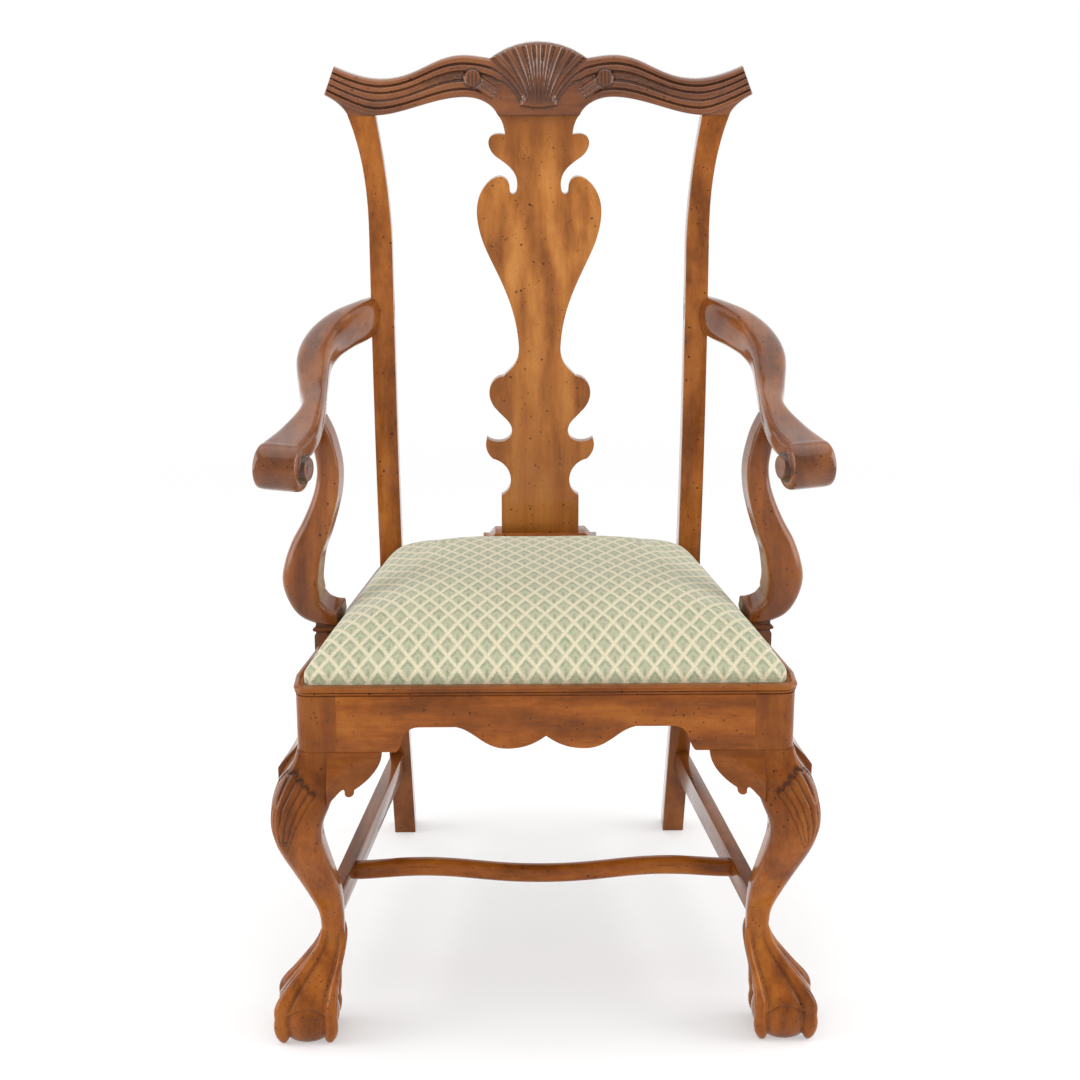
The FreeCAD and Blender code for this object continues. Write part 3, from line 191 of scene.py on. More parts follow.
# Dark, middle and light of each wood
HONEY = ((0.085, 0.021, 0.003), (0.245, 0.066, 0.0075), (0.4, 0.135, 0.019))
GOLD = ((0.19, 0.056, 0.009), (0.35, 0.12, 0.021), (0.5, 0.205, 0.046))
RED_BROWN = ((0.06, 0.015, 0.004), (0.18, 0.05, 0.009), (0.31, 0.102, 0.022))
BROWN = ((0.09, 0.024, 0.005), (0.26, 0.078, 0.013), (0.42, 0.15, 0.028))
CHESTNUT = ((0.075, 0.019, 0.0045), (0.215, 0.062, 0.011), (0.36, 0.124, 0.025))
INNER = ((0.30, 0.17, 0.07), (0.45, 0.28, 0.13), (0.58, 0.4, 0.21))


def wood_set(name, colours, **finish):
    return {axis: wood(f"{name}_{axis}", axis, colours, **finish) for axis in "xyz"}


FRAME_WOOD = wood_set("frame_wood", HONEY)
# The rear posts darken towards the floor by half: painted shade below the seat
POST_WOOD = wood("post_wood", "z", BROWN, stains=((0.4, 0.25, 0.5),))
# The side stretchers take a darker red-brown wood than the frame: painted shade under the seat
STRETCHER_WOOD_PAINTED_SHADE = wood("stretcher_wood_painted_shade", "y", RED_BROWN)
# The legs and knee brackets darken from the knee up: painted shade
LEG_WOOD = wood_set("leg_wood", HONEY, cloud=0.42, stains=((0.24, 0.3, 0.36),))
ARM_WOOD = wood("arm_wood", "y", RED_BROWN, cloud=0.26, gloss=1.46)
SUPPORT_WOOD = wood("support_wood", "z", CHESTNUT, cloud=0.24, gloss=1.36,
                    stains=((0.49, 0.44, 0.5), (0.6, 0.65, 0.4)))
INNER_WOOD = wood_set("inner_wood", INNER, cloud=0.25, gloss=1.1)
CREST_WOOD = wood("crest_wood", "x", RED_BROWN, gloss=1.58)
# The splat darkens at its top under the crest and towards its foot: painted shade
SPLAT_WOOD = wood("splat_wood", "z", GOLD, cloud=0.2, streak=0.5, gloss=1.36, length=16.0,
                  stains=((0.9, 0.96, 0.55), (0.68, 0.52, 0.34)))


def steel():
    material, n, shader = new_material("screw_steel")
    wear = n.noise(n.object_place(), 900.0)
    colour = n.ramp(wear, [(0.3, (0.3, 0.29, 0.28)), (0.7, (0.6, 0.59, 0.57))])
    n.put(shader, {"Base Color": colour, "Metallic": 1.0, "Roughness": n.range(wear, 0.3, 0.7, 0.3, 0.5)})
    return material


DIAMOND_WIDTH, DIAMOND_LENGTH = 0.0215, 0.0318
SHIFT_ACROSS, SHIFT_FORWARD = 0.09, 0.27      # shares of a diamond
CREAM, UNDYED = (0.72, 0.59, 0.41, 1.0), (0.66, 0.6, 0.46, 1.0)
PALE_SAGE, SAGE = (0.53, 0.52, 0.355, 1.0), (0.37, 0.39, 0.25, 1.0)
DEEP_GREEN, ROSE = (0.13, 0.19, 0.1, 1.0), (0.52, 0.36, 0.26, 1.0)


def lattice_cloth():
    """Woven cloth with a cream lattice over sage diamonds. Its UV map is in metres along the cloth."""
    material, n, shader = new_material("seat_lattice_cloth")
    uv = n.add("UVMap", uv_map="cloth").outputs["UV"]
    place = n.split(uv)
    warp = n.total(n.math("DIVIDE", place["X"], DIAMOND_WIDTH), SHIFT_ACROSS)
    weft = n.total(n.math("DIVIDE", place["Y"], DIAMOND_LENGTH), SHIFT_FORWARD)
    ripple = n.product(n.minus(n.noise(uv, 330.0), 0.5), 0.15)
    first = n.math("FRACT", n.total(warp, weft, ripple))
    second = n.math("FRACT", n.total(n.minus(warp, weft), ripple))

    # Each is 1 on its lattice line and 0 in the middle of the cell
    first_line, second_line = [n.product(n.math("ABSOLUTE", n.minus(value, 0.5)), 2.0)
                               for value in (first, second)]
    inside = n.minus(1.0, n.math("MAXIMUM", first_line, second_line))
    up = n.minus(first, second)
    side = n.math("ABSOLUTE", n.minus(n.total(first, second), 1.0))

    # The figure in a diamond: a heart, a dark crown and stem, and rose at its lower sides
    heart = n.range(inside, 0.2, 0.36)
    rose = n.product(n.range(side, 0.08, 0.3), n.range(up, 0.1, -0.3))
    crown = n.product(n.range(inside, 0.8, 0.45), n.range(up, -0.25, 0.2))
    stem = n.product(n.range(side, 0.26, 0.04), n.range(up, 0.1, -0.25))
    patches = n.range(n.noise(uv, 70.0, 2.0), 0.3, 0.7, 0.3, 0.75)
    figure = n.product(n.math("MAXIMUM", crown, stem), n.product(heart, patches))
    line = n.math("MAXIMUM", n.range(first_line, 0.88, 0.98), n.range(second_line, 0.84, 0.98, 0.0, 0.84))
    yarn = n.noise(uv, 1500.0, 2.0, 0.7)
    colour = n.mix(heart, PALE_SAGE, SAGE)
    for share, shade in ((n.product(heart, rose, 0.3), ROSE), (figure, DEEP_GREEN), (line, CREAM),
                         (n.range(yarn, 0.35, 0.7, 0.0, 0.42), UNDYED)):
        colour = n.mix(share, colour, shade)
    tufts = n.range(n.noise(uv, 700.0, 3.0, 0.7), 0.3, 0.7, 0.74, 1.22)
    tint = n.add("CombineXYZ", {axis: tufts for axis in "XYZ"}).outputs["Vector"]
    threads = n.add("TexWave", {"Vector": uv, "Scale": 320.0, "Distortion": 1.5}).outputs["Fac"]
    height = n.total(n.product(yarn, 0.7), n.product(threads, 0.25), n.product(line, -0.3))
    n.put(shader, {"Base Color": n.mix(1.0, colour, tint, blend="MULTIPLY"), "Roughness": 0.9,
                   "Specular IOR Level": 0.2, "Sheen Weight": 0.3, "Sheen Roughness": 0.45,
                   "Normal": n.bump(height, 0.5, 0.0009)})
    return material


def plain_cloth(name, low, high, scale):
    """Woven lining or webbing."""
    material, n, shader = new_material(name)
    threads = n.noise(n.object_place(), scale, 3.0, 0.7)
    n.put(shader, {"Base Color": n.ramp(threads, [(0.35, low), (0.65, high)]), "Roughness": 0.95,
                   "Normal": n.bump(threads, 0.5, 0.0006)})
    return material


STEEL = steel()
LATTICE = lattice_cloth()
LINING = plain_cloth("dust_lining", (0.01, 0.01, 0.011), (0.035, 0.034, 0.034), 1400.0)
JUTE = plain_cloth("jute_webbing", (0.25, 0.17, 0.08), (0.5, 0.38, 0.2), 900.0)


# Mesh helpers

WELD, EDGE_ANGLE = 0.00002, math.radians(32)


def face_outward(mesh):
    """Turns every closed shell of a mesh to face outward."""
    shape = bmesh.new()
    shape.from_mesh(mesh)
    bmesh.ops.recalc_face_normals(shape, faces=shape.faces)
    shape.to_mesh(mesh)
    shape.free()


def add_piece(name, shape, body, material, replaced=(), smooth=True, closed=True):
    """A new mesh piece that rides on a body and may stand for CAD nodes. A closed one faces outward."""
    verts, faces = shape
    mesh = bpy.data.meshes.new(name)
    mesh.from_pydata([tuple(v) for v in verts], [], [tuple(f) for f in faces])
    mesh.update()
    mesh.materials.append(material)
    mesh.polygons.foreach_set("use_smooth", [smooth] * len(mesh.polygons))
    if closed:
        face_outward(mesh)
    piece = bpy.data.objects.new(name, mesh)
    bpy.context.scene.collection.objects.link(piece)
    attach(piece, body)
    if replaced:
        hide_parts(*replaced)
    return piece


def mirrored(verts, faces):
    return [(-v[0], v[1], v[2]) for v in verts], [tuple(reversed(f)) for f in faces]


def add_pair(name, shape, material, replaced="", smooth=True, glaze_and_shade=None):
    """Right-hand piece of the chair's frame and its mirror image. The braces in a name take the side."""
    pieces = []
    for side, side_shape in (("right", shape), ("left", mirrored(*shape))):
        nodes = (replaced.format(side),) if replaced else ()
        piece = add_piece(name.format(side), side_shape, FRAME_BODY, material, nodes, smooth)
        if glaze_and_shade is not None:
            set_glaze_and_shade(piece, glaze_and_shade)
        pieces.append(piece)
    return pieces


def dress_node(name, material, bevel=0.0):
    """A CAD node keeps its shape and gets a finish and softened edges."""
    node = NODES[name]
    mesh = node.data
    mesh.materials.clear()
    mesh.materials.append(material)
    mesh.polygons.foreach_set("use_smooth", [True] * len(mesh.polygons))
    node.modifiers.new("weld", "WELD").merge_threshold = WELD
    if bevel:
        edge = node.modifiers.new("soft_edges", "BEVEL")
        edge.width = bevel
        edge.segments = 3
        edge.limit_method = "ANGLE"
        edge.angle_limit = EDGE_ANGLE
        edge.harden_normals = True


def grid_faces(rows, columns, ring_rows=False, ring_columns=False):
    """Four-sided faces between rows of points. In a ring, the last row or column also joins the first."""
    faces = []
    for j in range(rows if ring_rows else rows - 1):
        k = (j + 1) % rows
        for i in range(columns if ring_columns else columns - 1):
            m = (i + 1) % columns
            faces.append((j * columns + i, j * columns + m, k * columns + m, k * columns + i))
    return faces


# Fused and carved pieces

def fused(piece, voxel, passes):
    """Joins a piece's shells into one skin and eases it."""
    remesh = piece.modifiers.new("fuse", "REMESH")
    remesh.mode = "VOXEL"
    remesh.voxel_size = voxel
    ease = piece.modifiers.new("ease", "SMOOTH")
    ease.iterations = passes
    ease.factor = 0.5
    graph = bpy.context.evaluated_depsgraph_get()
    mesh = bpy.data.meshes.new_from_object(piece.evaluated_get(graph))
    piece.modifiers.clear()
    piece.data = mesh
    mesh.polygons.foreach_set("use_smooth", [True] * len(mesh.polygons))


def mesh_arrays(piece):
    """Points, normals and edges of a piece."""
    count = len(piece.data.vertices)
    points, normals = np.zeros(count * 3, np.float32), np.zeros(count * 3, np.float32)
    piece.data.vertices.foreach_get("co", points)
    piece.data.vertices.foreach_get("normal", normals)
    edges = np.zeros(len(piece.data.edges) * 2, np.int32)
    piece.data.edges.foreach_get("vertices", edges)
    return points.reshape(-1, 3).astype(float), normals.reshape(-1, 3).astype(float), edges.reshape(-1, 2)


def move_points(piece, points):
    piece.data.vertices.foreach_set("co", points.astype(np.float32).ravel())
    piece.data.update()


def neighbour_mean(values, edges):
    """Mean of the values at the points that share an edge with each point."""
    total, count = np.zeros_like(values), np.zeros(len(values))
    for a, b in ((0, 1), (1, 0)):
        np.add.at(total, edges[:, a], values[edges[:, b]])
        np.add.at(count, edges[:, a], 1)
    return (total.T / np.maximum(count, 1)).T


def hollows(piece, size, rounds=4):
    """How far each point lies in a hollow: 0 on open faces, 1 where the skin bends in sharply."""
    points, normals, edges = mesh_arrays(piece)
    average = points
    for _ in range(rounds):
        average = neighbour_mean(average, edges)
    depth = np.einsum("ij,ij->i", average - points, normals)
    return np.clip(neighbour_mean(depth, edges) / size, 0, 1)


# How dark each point is painted: glaze, with painted shade in hollows and grooves
def set_glaze_and_shade(piece, values):
    layer = piece.data.attributes.new("glaze_and_shade", "FLOAT", "POINT")
    layer.data.foreach_set("value", np.clip(values, 0, 1).astype(np.float32))


# Seat

LEDGE, RAIL_TOP = 0.408, 0.420
SIDE_SLOPE = 0.1873         # the side rails run in towards the back
CLOTH, CORNER_ROUND = 0.0014, 0.017
BARS_TOP = LEDGE + CLOTH + 0.019
SWELL = 0.0574
SETTLE, SETTLE_FRAMES = 0.005, 20       # the cloth starts lower than it ends, by this at most
CUSHION_POWER = 3.2
# Shares of the crown's height, and how far in from each edge they are reached, in mm
CUSHION_RISES = (0.0, 0.1, 0.2, 0.34, 0.49, 0.6, 0.7, 0.79, 0.87, 0.93, 0.975, 1.0)
CUSHION_INSETS = {"side": (0, 1.5, 4, 8.5, 16, 25, 38, 54, 73, 95, 120, 150),
                  "front": (0, 2, 8, 18, 33, 47, 64, 84, 106, 130, 155, 180),
                  "rear": (0, 1, 2.5, 5.5, 10, 17, 27, 42, 60, 82, 108, 140)}
# Rings down the seat's sides and under it, as (inset, share of the drop)
SKIRT = ((0.0, 0.3), (0.0, 0.6), (0.0, 0.85), (0.0006, 0.97), (0.002, 1.0), (0.01, 1.0), (0.018, 1.0))


def cushion_rise(**distances):
    """Share of the crown's height at given distances from the side, front and rear edges."""
    lack = 0.0
    for edge, distance in distances.items():
        share = np.interp(distance, np.array(CUSHION_INSETS[edge]) * MM, CUSHION_RISES)
        lack = lack + (1 - share) ** CUSHION_POWER
    return 1 - np.clip(lack, 0, 1) ** (1 / CUSHION_POWER)


def walked(points, axis):
    """Length walked along the lines of a grid, from their start."""
    steps = np.linalg.norm(np.diff(points, axis=axis), axis=2)
    return np.concatenate([0 * np.take(steps, [0], axis), np.cumsum(steps, axis)], axis)


def seat_mesh(columns=116, rows=104):
    """Grid over the seat's plan, its sides and the edge folded under, with cloth coordinates in metres."""
    low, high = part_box("seat_cover")
    verts = np.array([v.co for v in NODES["seat_cover"].data.vertices])
    front_y, rear_y = low.y, high.y
    length, middle_y = rear_y - front_y, (front_y + rear_y) / 2
    widest = verts[verts[:, 0].argmax()]
    half_front = widest[0] + SIDE_SLOPE * (widest[1] - front_y)

    def half_width(share):
        return half_front - SIDE_SLOPE * length * share

    s, t = np.meshgrid(np.linspace(-1, 1, columns), np.linspace(0, 1, rows))
    half = half_width(t)
    x, y = s * half, front_y + length * t
    # Round the plan's corners
    from_side, from_end = half - np.abs(x), np.minimum(y - front_y, rear_y - y)
    near = (from_side < CORNER_ROUND) & (from_end < CORNER_ROUND)
    a, b = 1 - from_side / CORNER_ROUND, 1 - from_end / CORNER_ROUND
    pull_x = a * np.sqrt(np.maximum(0, 1 - b * b / 2)) - a
    pull_y = b * np.sqrt(np.maximum(0, 1 - a * a / 2)) - b
    x = np.where(near, x + np.sign(x) * pull_x * CORNER_ROUND, x)
    y = np.where(near, y + np.sign(y - middle_y) * pull_y * CORNER_ROUND, y)
    half = half_width((y - front_y) / length)
    rise = cushion_rise(side=half - np.abs(x), front=y - front_y, rear=rear_y - y)
    z = BARS_TOP + 2 * CLOTH + (SWELL - CLOTH) * rise - SETTLE * np.minimum(1, rise * 3)

    top = np.stack([x, y, z], -1)
    u, v = walked(top, 1), walked(top, 0)
    u = u - u[:, columns // 2][:, None]
    v = 0.5 * v + 0.5 * v[:, columns // 2][:, None]
    top, cloth = top.reshape(-1, 3), np.stack([u, v], -1).reshape(-1, 2)
    points, uv, faces = [top], [cloth], grid_faces(rows, columns)

    # Rim, walked round the grid, then rings down the sides and under
    index = np.arange(rows * columns).reshape(rows, columns)
    rim = np.concatenate([index[0], index[1:, -1], index[-1, -2::-1], index[-2:0:-1, 0]])
    outward = top[rim, :2] - (0.0, middle_y)
    inward = -outward / np.linalg.norm(outward, axis=1)[:, None]
    outward[:, 0] *= length / (2 * half_front)
    sideways = np.abs(outward[:, 0]) > np.abs(outward[:, 1])
    step_uv = np.sign(outward) * np.stack([sideways, ~sideways], -1)
    drop = top[rim, 2].mean() - LEDGE
    previous, last, run = rim, (0.0, 0.0), 0.0
    for number, (inset, share) in enumerate(SKIRT):
        down = share * drop
        run += math.hypot(inset - last[0], down - last[1])
        last = (inset, down)
        points.append(top[rim] + np.column_stack([inward * inset, np.full(len(rim), -down)]))
        uv.append(cloth[rim] + step_uv * run)
        ring = rows * columns + number * len(rim) + np.arange(len(rim))
        corners = (np.roll(previous, -1), previous, ring, np.roll(ring, -1))
        faces += zip(*[corner.tolist() for corner in corners])
        previous = ring
    return (np.concatenate(points), faces), np.concatenate(uv), rows * columns


def simulate_cloth(piece, pinned_from):
    """Swells the cloth over its pad: each point moves out a few millimetres at most, and never in."""
    start, normals, _ = mesh_arrays(piece)
    held = piece.vertex_groups.new(name="held")
    held.add(list(range(pinned_from, len(start))), 1.0, "REPLACE")
    cloth = piece.modifiers.new("cloth", "CLOTH")
    cloth.settings.vertex_group_mass = "held"
    cloth.settings.use_pressure = True
    cloth.settings.uniform_pressure_force = 4.0
    cloth.settings.effector_weights.gravity = 0.0
    cloth.settings.tension_stiffness = 12.0
    cloth.settings.bending_stiffness = 0.6
    scene = bpy.context.scene
    for number in range(1, SETTLE_FRAMES + 1):
        scene.frame_set(number)
    graph = bpy.context.evaluated_depsgraph_get()
    swollen = np.array([v.co for v in piece.evaluated_get(graph).data.vertices])
    piece.modifiers.remove(cloth)
    scene.frame_set(1)
    lift = np.clip(np.einsum("ij,ij->i", swollen - start, normals), 0, SETTLE)
    move_points(piece, start + normals * lift[:, None])


def upholstered_seat():
    shape, uv, top_count = seat_mesh()
    piece = add_piece("seat_upholstery", shape, SEAT_BODY, LATTICE, ("seat_cover", "seat_pad"),
                      closed=False)
    layer = piece.data.uv_layers.new(name="cloth")
    loops = np.zeros(len(piece.data.loops), np.int32)
    piece.data.loops.foreach_get("vertex_index", loops)
    layer.data.foreach_set("uv", uv[loops].astype(np.float32).ravel())
    simulate_cloth(piece, top_count)
    smooth = piece.modifiers.new("smooth", "SUBSURF")
    smooth.levels = smooth.render_levels = 1


# CAD nodes that keep their shape

EDGE, SPLAT_EDGE, INNER_EDGE = 0.0012, 0.0015, 0.001      # how far edges are softened


def dress_frame():
    plain = {"x": ("front_rail", "rear_rail", "splat_shoe", "medial_stretcher"),
             "y": ("side_rail_left", "side_rail_right"), "z": ("arm_screw_plugs",)}
    inner = {"x": ("corner_block_front_left", "corner_block_front_right", "corner_block_rear_left",
                   "corner_block_rear_right", "rear_seat_cleat", "seat_front_bar", "seat_rear_bar"),
             "y": ("seat_side_bar_left", "seat_side_bar_right"), "z": ("arm_dowels",)}
    for woods, edge, groups in ((FRAME_WOOD, EDGE, plain), (INNER_WOOD, INNER_EDGE, inner)):
        for axis, names in groups.items():
            for name in names:
                dress_node(name, woods[axis], edge)
    for side in ("left", "right"):
        dress_node(f"rear_post_{side}", POST_WOOD, EDGE)
        dress_node(f"side_stretcher_{side}", STRETCHER_WOOD_PAINTED_SHADE, EDGE)
        dress_node(f"knee_bracket_front_{side}", LEG_WOOD["x"], EDGE)
        dress_node(f"knee_bracket_side_{side}", LEG_WOOD["y"], EDGE)
    dress_node("splat", SPLAT_WOOD, SPLAT_EDGE)
    for name in ("arm_screws", "arm_support_screws", "corner_block_screws", "seat_tacks"):
        dress_node(name, STEEL)


# Sweeps

FRONT_Y = -0.260608         # the front rail's face; depths below are measured from it


def circle(count):
    """Points round a unit circle."""
    angles = np.linspace(0, 2 * math.pi, count, endpoint=False)
    return np.cos(angles), np.sin(angles)


def superellipse(count, power):
    """Points round a unit superellipse."""
    return [np.sign(c) * np.abs(c) ** (2 / power) for c in circle(count)]


def smooth_rows(rows, count):
    """Rows of numbers interpolated along a Catmull-Rom curve through them."""
    rows = np.array(rows, float)
    padded = np.vstack([2 * rows[0] - rows[1], rows, 2 * rows[-1] - rows[-2]])
    out = []
    for place in np.linspace(0, len(rows) - 1, count):
        k = min(int(place), len(rows) - 2)
        t = place - k
        a, b, c, d = padded[k:k + 4]
        out.append(0.5 * (2 * b + (c - a) * t + (2 * a - 5 * b + 4 * c - d) * t * t
                          + (3 * b - a - 3 * c + d) * t ** 3))
    return np.array(out)


def unit(vector):
    return vector / np.linalg.norm(vector)


def heading_at(path, i, reach):
    """Unit vector along a path at one of its points, from the points a few steps before and after it."""
    return unit(path[min(i + reach, len(path) - 1)] - path[max(i - reach, 0)])


def ring_at(middle, outline, sizes, ways):
    """An outline round a point: its two coordinates, each with its size and its direction."""
    return middle + np.outer(outline[0] * sizes[0], ways[0]) + np.outer(outline[1] * sizes[1], ways[1])


def level_ring(x, depth, z):
    """Ring of points from their distances to the side, depths and heights."""
    return np.stack(np.broadcast_arrays(x, FRONT_Y + depth, z), -1)


def loft(sections, closed_ends=True):
    """Faces over rings of equal count, each ring an array of points."""
    rings, count = len(sections), len(sections[0])
    verts = [p for ring in sections for p in ring]
    faces = grid_faces(rings, count, ring_columns=True)
    if closed_ends:
        for ring, turn in ((0, -1), (rings - 1, 1)):
            middle = len(verts)
            verts.append(np.mean(sections[ring], axis=0))
            for i in range(count):
                pair = (ring * count + i, ring * count + (i + 1) % count)
                faces.append((middle, *pair[::turn]))
    return verts, faces


def joined(*parts):
    """Several shapes as one."""
    verts, faces = [], []
    for part_verts, part_faces in parts:
        start = len(verts)
        verts.extend(part_verts)
        faces.extend(tuple(start + k for k in face) for face in part_faces)
    return verts, faces


# Carved profiles

def rib_profile(place):
    """Rounded ribs with sharp valleys, one for each whole number."""
    return np.sqrt(np.clip(1 - (2 * (place - np.round(place))) ** 2, 0, 1))


def smooth_step(value, low, high):
    t = np.clip((value - low) / (high - low), 0, 1)
    return t * t * (3 - 2 * t)


def groove(distance, width):
    """1 in the middle of a cut line, 0 outside its width."""
    return np.exp(-(distance / width) ** 2)


# Arms

ARM_REAR, ARM_LOW = 0.732, 0.659       # height of the arm's centre at the post and at the hand grip
ARM_ROOT_X, ARM_REAR_DEPTH, SCROLL_DEPTH = 0.2088, 0.4545, 0.068
SCROLL_Z, SCROLL_R, HAND = 0.645, 0.027, 0.050
SCROLL_TURN, SCROLL_STEPS = 250, 40     # degrees that the band rolls, and its sections along them
BAND_THICK, BAND_TAPER = 0.026, 0.011
ARM_VOXEL = 0.0012


def arm_rows():
    """(x, y, z, width, height, squareness) from the rear post to the hand grip."""
    shape = ((1.05, 0, 1.0, 30, 46, 2.2), (0.96, 11, 1.0, 34, 50, 2.4), (0.86, 33, 0.95, 41, 48, 2.8),
             (0.75, 51, 0.84, 43, 41, 3.2), (0.62, 59, 0.68, 41, 34, 3.4), (0.46, 55, 0.43, 33, 28, 3.6),
             (0.32, 51, 0.27, 28, 27, 3.8), (0.17, 61, 0.1, 43, 26, 4.6), (0.05, 76, 0.0, 49, 26, 6.0))
    span = ARM_REAR_DEPTH - SCROLL_DEPTH
    return [(ARM_ROOT_X + out * MM, FRONT_Y + SCROLL_DEPTH + span * share,
             ARM_LOW + (ARM_REAR - ARM_LOW) * rise, width * MM, height * MM, power)
            for share, out, rise, width, height, power in shape]


def arm_shape():
    """The arm's band from the rear post to its scroll, and the scroll's button with its darker tone and the
    painted shade on the ring round its disc.
    """
    rows = smooth_rows(arm_rows(), 70)
    centres = rows[:, :3]
    sections = []
    for i, row in enumerate(rows):
        ahead = heading_at(centres, i, 7)
        side = unit(np.array([-ahead[1], ahead[0], 0.0]))
        ways = (side, np.cross(ahead, side))
        sections.append(ring_at(row[:3], superellipse(44, row[5]), row[3:5] / 2, ways))
    # The band rolls over the front and under into the scroll
    aim = unit((centres[-1] - centres[-2]) * (1, 1, 0))
    side = np.array([-aim[1], aim[0], 0.0])
    centre = np.array([*centres[-1][:2], SCROLL_Z]) + aim * 0.002
    outline = superellipse(44, 6.0)
    for step in range(1, SCROLL_STEPS + 1):
        share = step / SCROLL_STEPS
        angle = math.radians(90 - SCROLL_TURN * share)
        thick = BAND_THICK - BAND_TAPER * min(1, 1.6 * share)
        radius = SCROLL_R - 0.004 * max(0, share - 0.55) / 0.45 - thick / 2
        out = aim * math.cos(angle) + UP * math.sin(angle)
        width = HAND * (1 + 0.02 * math.sin(math.pi * share))
        sections.append(ring_at(centre + out * radius, outline, (width / 2, thick / 2), (side, out)))
    inner = side if side[0] < 0 else -side
    return loft(sections), *scroll_eye(centre, aim, inner)


# Places along the scroll's axis, from its outer face to its inner one, with the button's radius there
EYE_PROFILE = ((-0.0262, 0.002), (-0.0262, 0.0085), (-0.0252, 0.0108), (-0.022, 0.0118), (0.022, 0.0172),
               (0.0258, 0.0172), (0.0266, 0.0166), (0.0262, 0.0152), (0.0266, 0.014), (0.0306, 0.0134),
               (0.0316, 0.0126), (0.0318, 0.0112), (0.0314, 0.006), (0.0314, 0.001))
# The button's darker tone, and painted shade on the ring round the foot of its disc
EYE_SIDES, EYE_GLAZE, EYE_RING_PAINTED_SHADE = 48, 0.25, 0.9


def scroll_eye(centre, aim, inner):
    """Turned button through the scroll, a flat disc with a ring, proud of its inner face, with its darker
    tone and painted shade on the ring.
    """
    rings, glaze_and_shade = [], []
    for along, radius in EYE_PROFILE:
        rings.append(ring_at(centre + inner * along, circle(EYE_SIDES), (radius, radius), (aim, UP)))
        # The ring round the disc's foot gets painted shade
        in_ring = 0.0133 < radius < 0.0167 and along > 0.0255
        glaze_and_shade += [EYE_RING_PAINTED_SHADE if in_ring else EYE_GLAZE] * EYE_SIDES
    return loft(rings), np.array(glaze_and_shade + [EYE_GLAZE] * 2)


def hand_front_painted_shade(piece):
    """Painted shade on the front of a hand grip, on the faces that look forward."""
    points, normals, _ = mesh_arrays(piece)
    at_scroll = smooth_step(FRONT_Y + SCROLL_DEPTH - points[:, 1], -0.03, 0.01)
    return 0.32 * at_scroll * smooth_step(-normals[:, 1], 0.25, 0.9)


def arms():
    band, eye, eye_glaze_and_shade = arm_shape()
    for piece in add_pair("arm_{}_shaped", band, ARM_WOOD, "arm_{}"):
        fused(piece, ARM_VOXEL, 6)
        # Painted shade in the arm's hollows and on the front of its hand grip
        set_glaze_and_shade(piece, np.maximum(0.8 * hollows(piece, ARM_VOXEL), hand_front_painted_shade(piece)))
    add_pair("arm_scroll_eye_{}", eye, ARM_WOOD, glaze_and_shade=eye_glaze_and_shade)


# Crest rail

CREST_BASE, CREST_HEIGHT, CREST_HALF = 0.972, 0.060, 0.265
BACK_DEPTH, CREST_THICK, CREST_SOFT = 0.522, 0.024, 0.0035
CREST_LEAN, CREST_BACK_LEAN = 0.014, 0.006
NECK, POST_OUT, POST_IN = 0.051, 0.2365, 0.2025
EAR_X, EAR_RISE = 0.955 * CREST_HALF, 0.97      # the upper edge's outer end, its height as a share
SHELL_CENTRE_Z, SHELL_R, SHELL_HALF, SHELL_RIBS = 0.960, 0.100, 0.060, 9
SHELL_FOOT_Z, SHELL_FOOT_HALF = 0.988, 0.0175
BUTTON_X, BUTTON_Z, BUTTON_R, SLIT_GAP = 0.082, 1.0165, 0.0105, 0.0045
RIBBON_START, RIBBON_END, RIBBON_HALF = 0.009, 0.0335, 0.0078
RIBBON_IN, RIBBON_DOWN = 0.84, 0.54     # the way that a ribbon hangs from its button
BAR_Z, BAR_HALF, BAR_LINE_Z = 0.9855, 0.0038, 0.9808


def bezier_points(a, b, c, d, count=24):
    t = np.linspace(0, 1, count)[:, None]
    a, b, c, d = (np.array(p, float) for p in (a, b, c, d))
    return a * (1 - t) ** 3 + 3 * b * t * (1 - t) ** 2 + 3 * c * t ** 2 * (1 - t) + d * t ** 3


def rail_edges(x):
    """Lower and upper edge of the rail without its shell, as heights, at distances from its middle."""
    h = CREST_HALF
    swell, dip, arch = (0.36 * h, 1.19), (0.735 * h, 0.72), (0.347 * h, 0.36)
    upper = [*bezier_points((0, 1.05), (0.2 * h, 1.05), (0.27 * h, 1.2), swell),
             *bezier_points(swell, (0.5 * h, 1.17), (0.57 * h, 0.72), dip),
             *bezier_points(dip, (0.81 * h, 0.72), (0.89 * h, 0.84), (EAR_X, EAR_RISE)), (h, 0.43)]
    lower = [(0, 0), *bezier_points((NECK, 0), (NECK + 0.005, 0.2), (0.27 * h, 0.36), arch),
             *bezier_points(arch, (0.49 * h, 0.36), (0.64 * h, 0), (POST_IN, 0)),
             *bezier_points((POST_OUT, 0), (POST_OUT + 0.004, 0.15), (0.95 * h, 0.3), (h, 0.41))]
    return [CREST_BASE + CREST_HEIGHT * np.interp(x, *np.transpose(edge)) for edge in (lower, upper)]


def shell_rim(x):
    return SHELL_CENTRE_Z + np.sqrt(np.clip(SHELL_R ** 2 - x ** 2, 0, 1))


def crest_edges(x):
    """Edges of the whole crest, with the lobed rim of the shell."""
    low, high = rail_edges(x)
    lobe = np.abs(np.cos(math.pi * SHELL_RIBS / 2 * x / SHELL_HALF))
    rim = shell_rim(x) - 0.0006 * (1 - lobe)
    return low, np.where(x < SHELL_HALF, np.maximum(high, rim), high)


